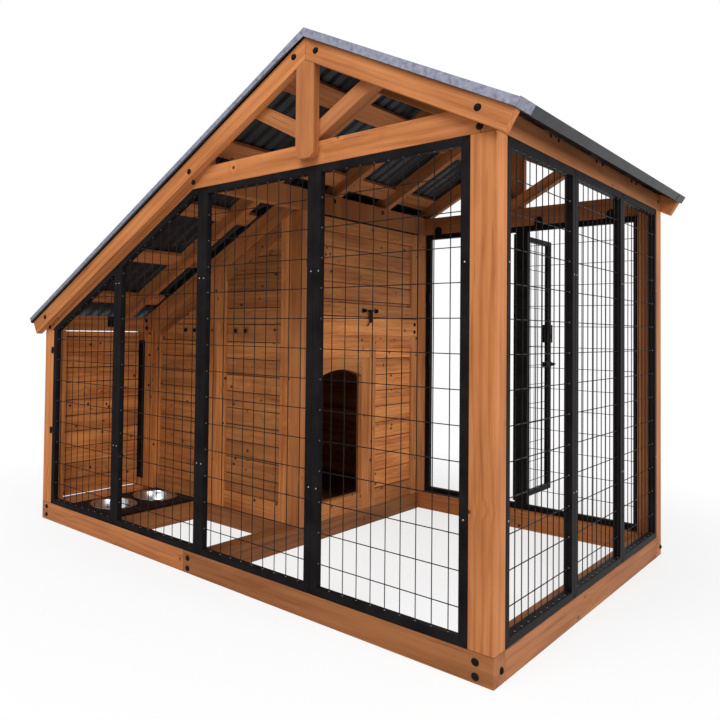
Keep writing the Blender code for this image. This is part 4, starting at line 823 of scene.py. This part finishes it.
def end_tree(tree, geometry, material, *chosen):
    """Every tree ends alike: instances made real, a material, and others for chosen faces."""
    done = add(tree, "GeometryNodeRealizeInstances", {0: geometry}).outputs[0]
    for selection, finish in ((True, material), *chosen):
        inputs = {0: done, "Selection": selection, "Material": finish}
        done = add(tree, "GeometryNodeSetMaterial", inputs).outputs[0]
    add(tree, "NodeGroupOutput", {0: done})
    return tree


def named(tree, name, kind):
    """A stored attribute."""
    return add(tree, "GeometryNodeInputNamedAttribute", {"Name": name}, data_type=kind).outputs[0]


def wire_tree():
    labels = (("Wire", "Float"), ("Bead", "Float"), ("Finish", "Material"))
    tree, given = new_tree("welded wires", *labels, ("Bead highlight finish", "Material"))
    lines = add(tree, "GeometryNodeMeshToCurve", {0: given["Geometry"]}).outputs[0]
    circle = {"Resolution": 6, "Radius": maths(tree, "MULTIPLY", given["Wire"], 0.5)}
    section = add(tree, "GeometryNodeCurvePrimitiveCircle", circle).outputs[0]
    swept = add(tree, "GeometryNodeCurveToMesh", {0: lines, 1: section, "Fill Caps": True})
    ball = add(tree, "GeometryNodeMeshIcoSphere", {"Radius": given["Bead"], "Subdivisions": 1})
    marked = {0: ball.outputs[0], "Name": "bead", "Value": 1.0}
    ball = add(tree, "GeometryNodeStoreNamedAttribute", marked).outputs[0]
    places = {"Points": given["Geometry"], "Instance": ball}
    joined = tree.nodes.new("GeometryNodeJoinGeometry")
    for part in (add(tree, "GeometryNodeInstanceOnPoints", places), swept):
        tree.links.new(part.outputs[0], joined.inputs[0])
    smooth = add(tree, "GeometryNodeSetShadeSmooth", {0: joined.outputs[0]}).outputs[0]
    beads = (named(tree, "bead", "FLOAT"), given["Bead highlight finish"])
    return end_tree(tree, smooth, given["Finish"], beads)


def grown(name, body, points, edges, tree, values, facing=()):
    """Runs a tree over points and edges, and makes the result a piece with a plain mesh."""
    seed = bpy.data.meshes.new(name + "_seed")
    seed.from_pydata([Vector(p) + CORNER for p in points], edges, [])
    if facing:
        layer = seed.attributes.new("facing", "FLOAT_VECTOR", "POINT")
        for point, vector in zip(layer.data, facing):
            point.vector = vector
    holder = new_object(name + "_seed", seed)
    modifier = holder.modifiers.new(tree.name, "NODES")
    modifier.node_group = tree
    sockets = {s.name: s.identifier for s in tree.interface.items_tree if s.in_out == "INPUT"}
    for label, value in values.items():
        modifier[sockets[label]] = value
    graph = bpy.context.evaluated_depsgraph_get()
    mesh = bpy.data.meshes.new_from_object(holder.evaluated_get(graph), depsgraph=graph)
    bpy.data.objects.remove(holder)
    mesh.name = name
    obj = new_object(name, mesh)
    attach(obj, body)


WIRES = wire_tree()

# %% [markdown]
# Each panel's frame is one board of steel for each side of its outline, with a mitre at each
# corner. The wires are found by crossing the inner outline with a line, so the two panels
# under the low slope get wires that stop at the slope, as they do on the kennel.

# %% Panel helpers
TUBE = 0.027


def inset(outline, distance):
    """A convex outline, given anticlockwise, with every side moved inwards."""
    moved = []
    for i, corner in enumerate(outline):
        corner = Vector(corner)
        before = (corner - Vector(outline[i - 1])).normalized()
        after = (Vector(outline[(i + 1) % len(outline)]) - corner).normalized()
        one, two = Vector((-before.y, before.x)), Vector((-after.y, after.x))
        moved.append(tuple(corner + (one + two) / (1 + one.dot(two)) * distance))
    return moved


def tube_frame(pile, outline, axis, span, width=TUBE):
    """Mitred tubes round an outline."""
    inner = inset(outline, width)
    for i in range(len(outline)):
        j = (i + 1) % len(outline)
        bar(pile, [outline[i], outline[j], inner[j], inner[i]], axis, span, ARRIS, 2)


def reach_in(outline, index, value):
    """Where a line square to one axis enters and leaves a convex outline."""
    found = []
    for start, end in zip(outline, outline[1:] + outline[:1]):
        if (start[index] < value) != (end[index] < value):
            t = (value - start[index]) / (end[index] - start[index])
            found.append(start[1 - index] + (end[1 - index] - start[1 - index]) * t)
    return sorted(found)


def net(name, outline, axis, plane, uprights, body="kennel", width=TUBE):
    """The wires of one panel: uprights in one plane, and rows welded on behind them."""
    inner = inset(outline, width - 0.0004)
    points, edges = [], []
    for index, places, depth in ((0, uprights, 0.0), (1, ROWS, WIRE * 0.85)):
        for place in places:
            crossing = reach_in(inner, index, place)
            if len(crossing) < 2 or crossing[1] - crossing[0] < 0.02:
                continue
            for end in crossing:
                u, v = (place, end) if index == 0 else (end, place)
                points.append(point_at(axis, u, v, plane + depth * (1 if axis == "Y" else -1)))
            edges.append((len(points) - 2, len(points) - 1))
    looks = {"Wire": WIRE, "Bead": BEAD, "Finish": WIRE_COAT, "Bead highlight finish": WELD_BEAD_HIGHLIGHT}
    grown(name, body, points, edges, WIRES, looks)
    return len(edges)


# %% [markdown]
# The columns of the front panels are where they stand on the real kennel. All panels share
# one row height, so the rows run on from panel to panel.

# %% Front, side and rear panels
FOOT, NET_DEPTH = SILL_TOP + GAP, 0.008
ROWS = courses(0.192, 0.1027, 14)
LOW_DROP = RAFTER_DROP + 0.030 + 2 * GAP
HIGH_EAVE = spans("header_high")[2][0] - GAP
COLUMNS = {
    "front_1": (0.139, 0.0502, 9),
    "front_2": (0.6726, 0.0511, 9),
    "front_3": (1.2017, 0.0527, 9),
    "front_4": (1.7522, 0.0511, 9),
    "side_1": (0.1573, 0.0511, 9),
    "side_2": (0.6925, 0.0508, 10),
    "side_3": (1.2330, 0.0508, 9),
    "rear": (1.7700, 0.0508, 8),
}
turn_x = RIDGE_X - (RIDGE_HEIGHT - LOW_DROP - HIGH_EAVE) / TAN
for panel, columns in COLUMNS.items():
    x, y, z = spans(f"mesh_panel_{panel}")
    facing, u, span = ("X", y, x) if "side" in panel else ("Y", x, y)
    outline = box(u, z)
    if "front" in panel:
        outline = [(u[0], FOOT), (u[1], FOOT), (u[1], min(slope_at(u[1], LOW_DROP), HIGH_EAVE))]
        outline += [(turn_x, HIGH_EAVE)] if u[0] < turn_x < u[1] else []
        outline += [(u[0], min(slope_at(u[0], LOW_DROP), HIGH_EAVE))]
    pile = new_pile()
    tube_frame(pile, outline, facing, span)
    finish_piece(f"panel_frame_{panel}", pile, COAT, f"mesh_panel_{panel}")
    plane = NET_DEPTH if "front" in panel else span[1] - NET_DEPTH
    made = net(f"panel_net_{panel}", outline, facing, plane, courses(*columns))
    print(panel, "wires:", made)

# %% [markdown]
# The rear door stands open, square to the back. Its leaf is the same kind of panel in 25 mm
# tube, with a lock case, a bolt on lugs, and two hinges of coated steel.

# %% Door leaf
LOCK_Z, CYLINDER_Z, BOLT_Z, DOOR_HINGES = (0.930, 1.030), 0.965, 0.810, (0.300, 1.300)
x, y, z = spans("door_frame")
door_x, door_z = (x[0] + TUBE, x[1] - TUBE), (FOOT + TUBE, HIGH_EAVE - 0.010 - GAP - TUBE)
hinge_x, hinge_y, LEAF_TUBE = door_x[1] + 0.0035, DEPTH + 0.006, 0.025
outer, inner = hinge_x - 0.033, hinge_x - 0.008
near = hinge_y + 0.0065
free = near + door_x[1] - door_x[0] - 0.006
leaf = box((near, free), (door_z[0] + 0.003, door_z[1] - 0.003))
pile = new_pile()
tube_frame(pile, leaf, "X", (outer, inner), LEAF_TUBE)
case_x = (outer - 0.008, inner + 0.008)
plate(pile, case_x, (free - 0.045, free - GAP), LOCK_Z, 0.003)
for side, face in zip((-1, 1), case_x):
    ends = [(face + side * out, free - 0.028, CYLINDER_Z) for out in (0.001, 0.004)]
    rod(pile, *ends, 0.009, 16)
plate(pile, (inner - 0.002, inner + 0.003), (free - 0.124, free - GAP), about(BOLT_Z, 0.014))
lug_z = about(BOLT_Z, 0.009)
for far in (free - 0.010, free - 0.108):
    lug_y = (far - 0.012, far)
    for heights in ((lug_z[0], lug_z[0] + 0.0036), (lug_z[1] - 0.0036, lug_z[1])):
        plate(pile, (inner, inner + 0.018), lug_y, heights)
    plate(pile, (inner + 0.0144, inner + 0.018), lug_y, lug_z)
for height in DOOR_HINGES:
    strap_z = about(height, 0.0138)
    plate(pile, about(inner, 0.002), (near + GAP, near + 0.030), strap_z)
    plate(pile, (inner - 0.001, hinge_x - 0.001), (hinge_y + 0.0004, near + 0.004), strap_z)
    rod(pile, *[(hinge_x, hinge_y, end) for end in about(height, 0.0146)], 0.0054)
finish_piece("door_leaf_frame", pile, COAT, "door_leaf", body="door")
columns = courses(near + 0.0345, 0.0508, 8)
made = net("door_leaf_net", leaf, "X", inner - NET_DEPTH, columns, "door", LEAF_TUBE)
print("door leaf from", round(near, 4), "to", round(free, 4), "wires:", made)

# %% [markdown]
# ## Roof
# The ribbed sheets and the ridge cap keep their solids and get the painted sheet. The folded
# trims of mottled zinc go over the front rakes and turn the corner for 0.1 m along each eave:
# bent strips of 1 mm sheet, as a roofer would fold them. At the back they are painted.

# %% Roof paint and rake trims
for node in ("roof_sheet_low", "roof_sheet_high", "ridge_cap"):
    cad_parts[node].material_slots[0].material = ROOF_PAINT

TRIM, TRIM_HEIGHT, TRIM_WIDTH, TRIM_CORNER, FOLD = 0.0010, 0.0255, 0.034, 0.10, 0.0012
ENDS = {-1: (RIDGE_X + 0.068) / COS + 0.004, 1: (LENGTH - RIDGE_X + 0.066) / COS + 0.004}
cap_x, _, cap_z = spans("ridge_cap")
CAP_REACH = (cap_x[1] - cap_x[0]) / 2 / COS
CAP_RISE = (cap_z[1] - RIDGE_HEIGHT) * COS + GAP


def gable_end(pile, feet, span):
    """The bent plate that joins the two rake trims under the end of the ridge cap."""
    left, right = (
        laid(side, (0, CAP_REACH), (foot, CAP_RISE))[1:3] for side, foot in zip((-1, 1), feet)
    )
    low = (RIDGE_X, RIDGE_HEIGHT + min(feet) / COS)
    high = (RIDGE_X, RIDGE_HEIGHT + CAP_RISE / COS)
    corners = [left[0], low, *right, high, left[1]]
    bar(pile, corners, "Y", span, 0.0003)


roof_y = spans("roof_sheet_high")[1]
trims = {"front": (roof_y[0], -1, ZINC_TRIM, 0.007), "rear": (roof_y[1], 1, ROOF_PAINT, -0.001)}
for name, (edge, out, material, foot) in trims.items():
    pile = new_pile()
    back, front = edge + out * 0.0002, edge + out * (0.0002 + TRIM)
    face, top = sorted((back, front)), sorted((front, edge - out * TRIM_WIDTH))
    lip = sorted((front, edge - out * TRIM_CORNER))
    feet = (foot, -0.001)
    gable_end(pile, feet, face)
    for (side, end), foot in zip(ENDS.items(), feet):
        down = (CAP_REACH + GAP, end + FOLD)
        bars = [(down, (foot, TRIM_HEIGHT), face), (down, (TRIM_HEIGHT - TRIM, TRIM_HEIGHT), top)]
        bars += [((end, end + FOLD), (-0.002, TRIM_HEIGHT + 0.002), lip)]
        for reach, rise, across in bars:
            bar(pile, laid(side, reach, rise), "Y", across, 0.0004)
    finish_piece(f"roof_{name}_trims", pile, material)
print("rake trims:", 2 * len(trims))

# %% [markdown]
# ## Feeding bay
# The two bowls are spun from stainless sheet: a flat base, sloping sides and a rim rolled
# over to lie on the tray. A profile turned round its axis gives that, and a sheet of zero
# thickness would show, so both faces and the rolled edge are in the profile.

# %% Spun bowls and tray
def turned(pile, profile, centre, steps):
    """A closed profile of (radius, height) pairs turned round an upright axis."""
    shape = bmesh.new()
    rings = []
    for radius, height in profile:
        angles = [math.tau * i / steps for i in range(steps if radius > 0 else 1)]
        ring = [(radius * math.cos(a), radius * math.sin(a), height) for a in angles]
        rings.append([shape.verts.new(place) for place in ring])
    for low, high in zip(rings, rings[1:]):
        for i in range(steps):
            j = (i + 1) % steps
            face = [low[i % len(low)], low[j % len(low)], high[j % len(high)], high[i % len(high)]]
            face = [v for k, v in enumerate(face) if v is not face[k - 1]]
            if len(set(face)) > 2:
                shape.faces.new(face)
    bmesh.ops.recalc_face_normals(shape, faces=shape.faces)
    shape.transform(Matrix.Translation(centre))
    put(pile, shape, smooth=True)


BOWL = [(0, -0.0605), (0.070, -0.0605), (0.080, -0.0590), (0.087, -0.0540)]
BOWL += [(0.1035, -0.0045), (0.1055, 0.0012)]
for angle in courses(0.5, 0.44, 6):
    BOWL.append((0.107 + 0.0045 * (1 - math.cos(angle)), 0.0008 + 0.0030 * math.sin(angle)))
BOWL += [(0.1178, 0.0022), (0.1180, 0.0008), (0.1165, 0.0001), (0.1085, 0.0001)]
BOWL += [(0.1062, -0.0012), (0.0885, -0.0550), (0.0815, -0.0603), (0.0710, -0.0620), (0, -0.0620)]
for end in ("front", "rear"):
    x, y, z = spans(f"bowl_{end}")
    pile = new_pile()
    turned(pile, BOWL, (sum(x) / 2, sum(y) / 2, z[1] - 0.003), 64)
    finish_piece(f"spun_bowl_{end}", pile, STAINLESS, f"bowl_{end}", body=f"{end}_bowl")

for node in ("bowl_tray", "door_frame", "feeding_door_hinge", "hatch_hasp", "door_bolt"):
    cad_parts[node].material_slots[0].material = COAT
print("bowl profile points:", len(BOWL))

# %% [markdown]
# ## Bolts and screws
# Black carriage bolts hold the timber together, and small bright screws hold the panels. Each
# head is the same shape many times over, so one head is turned once, and Geometry Nodes put
# it on each point, turned to stand off the face that it is driven into.

# %% The fastener tree
def head_mesh(name, profile, steps=14):
    pile = new_pile()
    turned(pile, profile, (0, 0, 0), steps)
    return object_of(name, pile)


def fastener_tree():
    tree, given = new_tree("driven fasteners", ("Head", "Object"), ("Finish", "Material"))
    head = add(tree, "GeometryNodeObjectInfo", {"Object": given["Head"]})
    head.transform_space = "ORIGINAL"
    facing = {"Vector": named(tree, "facing", "FLOAT_VECTOR")}
    turn = add(tree, "FunctionNodeAlignRotationToVector", facing, axis="Z").outputs[0]
    inputs = {"Points": given["Geometry"], "Instance": head.outputs["Geometry"], "Rotation": turn}
    placed = add(tree, "GeometryNodeInstanceOnPoints", inputs).outputs[0]
    return end_tree(tree, placed, given["Finish"])


FASTENERS = fastener_tree()
CARRIAGE = [(0, 0.0065), (0.0035, 0.0062), (0.0062, 0.0048), (0.0078, 0.0022)]
CARRIAGE += [(0.0105, 0.0018), (0.0110, 0.0004), (0.0110, -0.0010), (0, -0.0010)]
SMALL = [(r * 0.66, h * 0.66) for r, h in CARRIAGE]
PAN = [(0, 0.0018), (0.0009, 0.0022), (0.0020, 0.0020), (0.0030, 0.0011)]
PAN += [(0.0034, -0.0006), (0, -0.0006)]
HEADS = {
    "bolt": head_mesh("bolt_head_shape", CARRIAGE),
    "small bolt": head_mesh("small_bolt_head_shape", SMALL),
    "screw": head_mesh("screw_head_shape", PAN, 10),
}
WAYS = {"-Y": -Y, "+Y": Y, "+X": X}


def drive(name, kind, finish, rows):
    """Heads at points: rows is a list of (x, y, z, facing)."""
    points, facing = [row[:3] for row in rows], [WAYS[row[3]] for row in rows]
    grown(name, "kennel", points, [], FASTENERS, {"Head": HEADS[kind], "Finish": finish}, facing)
    print(name, len(rows))


# %% [markdown]
# The bolts stand where the photograph shows them: at the ends of the rafters and the tie, two
# at the end of each sill, and in pairs along the high header. The far side is driven alike.

# %% Carriage bolts
OUT, REAR_OUT = spans("rafter_front_right")[1][0], spans("rafter_rear_right")[1][1]
POST_OUT = spans("post_end_wall")[1][0]
truss = [(1.0921, 1.5997), (1.118, 1.5531), (1.7036, 1.9145), (1.6115, 1.9176)]
truss += [(2.257, 1.5982), (0.0437, 1.0227), (0.0923, 0.9725)]
feet = [(0.0400, 0.0653), (1.0815, 0.0600), (2.2440, 0.0600)]
feet = [(x, height) for x, z in feet for height in (z, z - 0.04)]
bolts = [(x, OUT, z, "-Y") for x, z in truss] + [(2.2482, 0.0, 1.5553, "-Y")]
bolts += [(x, REAR_OUT, z, "+Y") for x, z in truss]
bolts += [(x, 0.0, z, "-Y") for x, z in feet]
bolts += [(x, DEPTH, z, "+Y") for x, z in feet[:2] + feet[4:]]
bolts += [(LENGTH, y, z, "+X") for y, z in ((0.0484, 0.0397), (1.7483, 0.037))]
bolts += [(0.0815, POST_OUT, 1.017, "-Y"), (0.087, POST_OUT, 0.9764, "-Y")]
bolts += [(FACE, 1.624, z, "+X") for z in (1.018, 0.977)]
bolts += [(x, WALL_FRONT, 0.968, "-Y") for x in (0.3948, 0.4626, 0.7544, 0.8210)]
drive("carriage_bolts", "bolt", COAT, bolts)
bolts = [(LENGTH, y, 1.6015, "+X") for y in (0.4055, 0.4754, 0.8569, 0.9258, 1.3008, 1.370)]
bolts += [(LENGTH, 1.713, 1.575, "+X")]
bolts += [(0.0999, WALL_FRONT, z, "-Y") for z in (0.8244, 0.655)]
drive("small_bolts", "small bolt", COAT, bolts)

# %% Panel screws
HIGH, LOW, MESH_POSTS = 1.1740, 0.4430, (0.584, 0.606, 1.1245, 1.149, 1.6695, 1.700, 2.2070)
screws = [(x, 0.0, z, "-Y") for x in MESH_POSTS for z in (HIGH, LOW) if z < slope_at(x, LOW_DROP)]
side_posts = (0.0900, 0.6270, 0.6520, 1.1700, 1.1950, 1.6780)
screws += [(LENGTH, y, z, "+X") for y in side_posts for z in (HIGH + 0.0015, LOW)]
screws += [(x, DEPTH, z, "+Y") for x in (1.7120, 2.2080) for z in (HIGH, LOW)]
drive("panel_screws", "screw", ZINC_SCREW, screws)

# %% [markdown]
# ## Small ironwork
# Bent brackets and keepers tie the cabin and the door frame together: a strike and a keeper
# for the bolt, tabs on the rear tie beam, and angle brackets under the rafters.

# %% Brackets, tabs and keepers
TAB_HALF, TAB_Z = 0.020, (1.500, 1.545)
frame_face, tab_y = DEPTH - TUBE, (DEPTH - 0.0475, DEPTH - 0.0452)
pile = new_pile()
for x0 in (1.256, 1.786, 2.110):
    tab = [(x0 - TAB_HALF, TAB_Z[0]), (x0 + TAB_HALF, TAB_Z[0]), (x0 + TAB_HALF, TAB_Z[1])]
    for angle in courses(0.35, 0.35, 8):
        tab.append((x0 + TAB_HALF * math.cos(angle), TAB_Z[1] + TAB_HALF * math.sin(angle)))
    tab.append((x0 - TAB_HALF, TAB_Z[1]))
    bar(pile, tab, "Y", tab_y, 0.0005)
for z0 in (1.169, BOLT_Z):
    plate(pile, (1.1745, 1.2005), (frame_face - 0.0028, frame_face), about(z0, 0.030))
    plate(pile, (1.1980, 1.2010), (frame_face - 0.0100, frame_face), about(z0, 0.024))
bracket_x, bracket_y = spans("header_low")[0][1], (0.335, 0.374)
plate(pile, (bracket_x, bracket_x + 0.0025), bracket_y, (0.979, 1.034))
plate(pile, (bracket_x, bracket_x + 0.030), bracket_y, (1.0315, 1.034))
for y0 in (rafter_faces[1][0], 1.290):
    plate(pile, (FACE + 0.005, FACE + 0.0075), (y0 - 0.024, y0 - 0.008), (1.584, 1.604))
for z0 in (0.856, 0.4532):
    plate(pile, (0.0585, 0.0755), (-0.0040, 0.0002), about(z0, 0.016), 0.0015)
    plate(pile, (0.0630, 0.0720), (-0.0065, -0.0035), about(z0, 0.010), 0.0012)
finish_piece("brackets_and_keepers", pile, COAT)
for head in HEADS.values():
    bpy.data.objects.remove(head)
print("ironwork done")

# %% [markdown]
# ## Studio
# The kennel stands on a plain pale floor that fades to white, so that its shadow stays and
# the horizon goes. Two large soft panels, one high in front and one to the right, and an
# even white sky light it at a plain level, at which a colour renders about as it is written.

# %% Floor
FLOOR_HALF = 30.0


def direct_rays(tree):
    """One for what the camera sees straight, in a gloss or through a clear thing."""
    path = add(tree, "ShaderNodeLightPath").outputs
    seen = maths(tree, "MAXIMUM", path["Is Camera Ray"], path["Is Glossy Ray"])
    return maths(tree, "MAXIMUM", seen, path["Is Transmission Ray"])


mesh = bpy.data.meshes.new("floor")
corners = [(x * FLOOR_HALF, y * FLOOR_HALF, 0.0) for x, y in box((-1, 1), (-1, 1))]
mesh.from_pydata(corners, [], [(0, 1, 2, 3)])
floor = new_object("floor", mesh)
floor.location.z = -0.0005
material, tree, shader = new_material("pale_studio_floor", 0.8)
shader.inputs["Base Color"].default_value = linear("F4F4F4")
away = vectors(tree, "LENGTH", add(tree, "ShaderNodeTexCoord").outputs["Object"])
fade = mapped(tree, away, 1.0, 2.6, 0.72, 1.0)
blend = maths(tree, "MULTIPLY", direct_rays(tree), fade)
white = add(tree, "ShaderNodeEmission").outputs[0]
mix = add(tree, "ShaderNodeMixShader", {0: blend, 1: shader.outputs[0], 2: white})
tree.links.new(mix.outputs[0], tree.nodes["Material Output"].inputs["Surface"])
mesh.materials.append(material)

# %% Sky and light panels
SKY_LIGHT = 0.40
world = bpy.data.worlds.new("studio_sky")
bpy.context.scene.world = world
world.use_nodes = True
tree = world.node_tree
glow = tree.nodes["Background"]
glow.inputs["Color"].default_value = (1, 1, 1, 1)
glow.inputs["Strength"].default_value = SKY_LIGHT
backdrop = add(tree, "ShaderNodeBackground", {"Color": (1, 1, 1, 1), "Strength": 1.0}).outputs[0]
mix = add(tree, "ShaderNodeMixShader", {0: direct_rays(tree), 1: glow.outputs[0], 2: backdrop})
tree.links.new(mix.outputs[0], tree.nodes["World Output"].inputs["Surface"])

LAMPS = {
    "key_panel": ((1.9, -3.0, 4.6), (1.2, 0.2, 1.2), 2.4, 165),
    "right_panel": ((5.4, -0.2, 2.3), (1.2, 0.9, 0.8), 2.0, 85),
}
for name, (stand, aim, size, power) in LAMPS.items():
    lamp = bpy.data.lights.new(name, "AREA")
    lamp.energy, lamp.size = power, size
    holder = new_object(name, lamp)
    holder.location = Vector(stand) + CORNER
    holder.rotation_euler = (Vector(aim) - Vector(stand)).to_track_quat("-Z", "Y").to_euler()
print("lights: sky", SKY_LIGHT, "and", len(LAMPS), "soft panels")

# %% [markdown]
# The camera stands where the photograph was taken from: 3.1 m along, 1.9 m in front and just
# under 1 m up, worked out from the vanishing lines of the kennel. The picture is a crop from
# the right of a wider one, which the lens shift gives.

# %% Camera
STAND = Vector((3.0999, -1.9202, 0.96578))
heading, lift, roll = math.atan2(0.698, -0.716) + 0.010764, 0.024258, 0.015869
reach = math.cos(lift)
forward = Vector((math.cos(heading) * reach, math.sin(heading) * reach, math.sin(lift)))
right = forward.cross(Z).normalized()
up = right.cross(forward)
level, tilt = math.cos(roll), math.sin(roll)
axes = (right * level + up * tilt, -right * tilt + up * level, -forward)
camera = bpy.data.cameras.new("camera")
camera.sensor_width = 36.0
camera.lens = 34.69
camera.shift_x, camera.shift_y = 0.2328, -0.0642
holder = new_object("camera", camera)
turn = Matrix(axes).transposed().to_4x4()
holder.matrix_world = Matrix.Translation(STAND + CORNER) @ turn
bpy.context.scene.camera = holder
bpy.context.scene.view_settings.view_transform = "Standard"
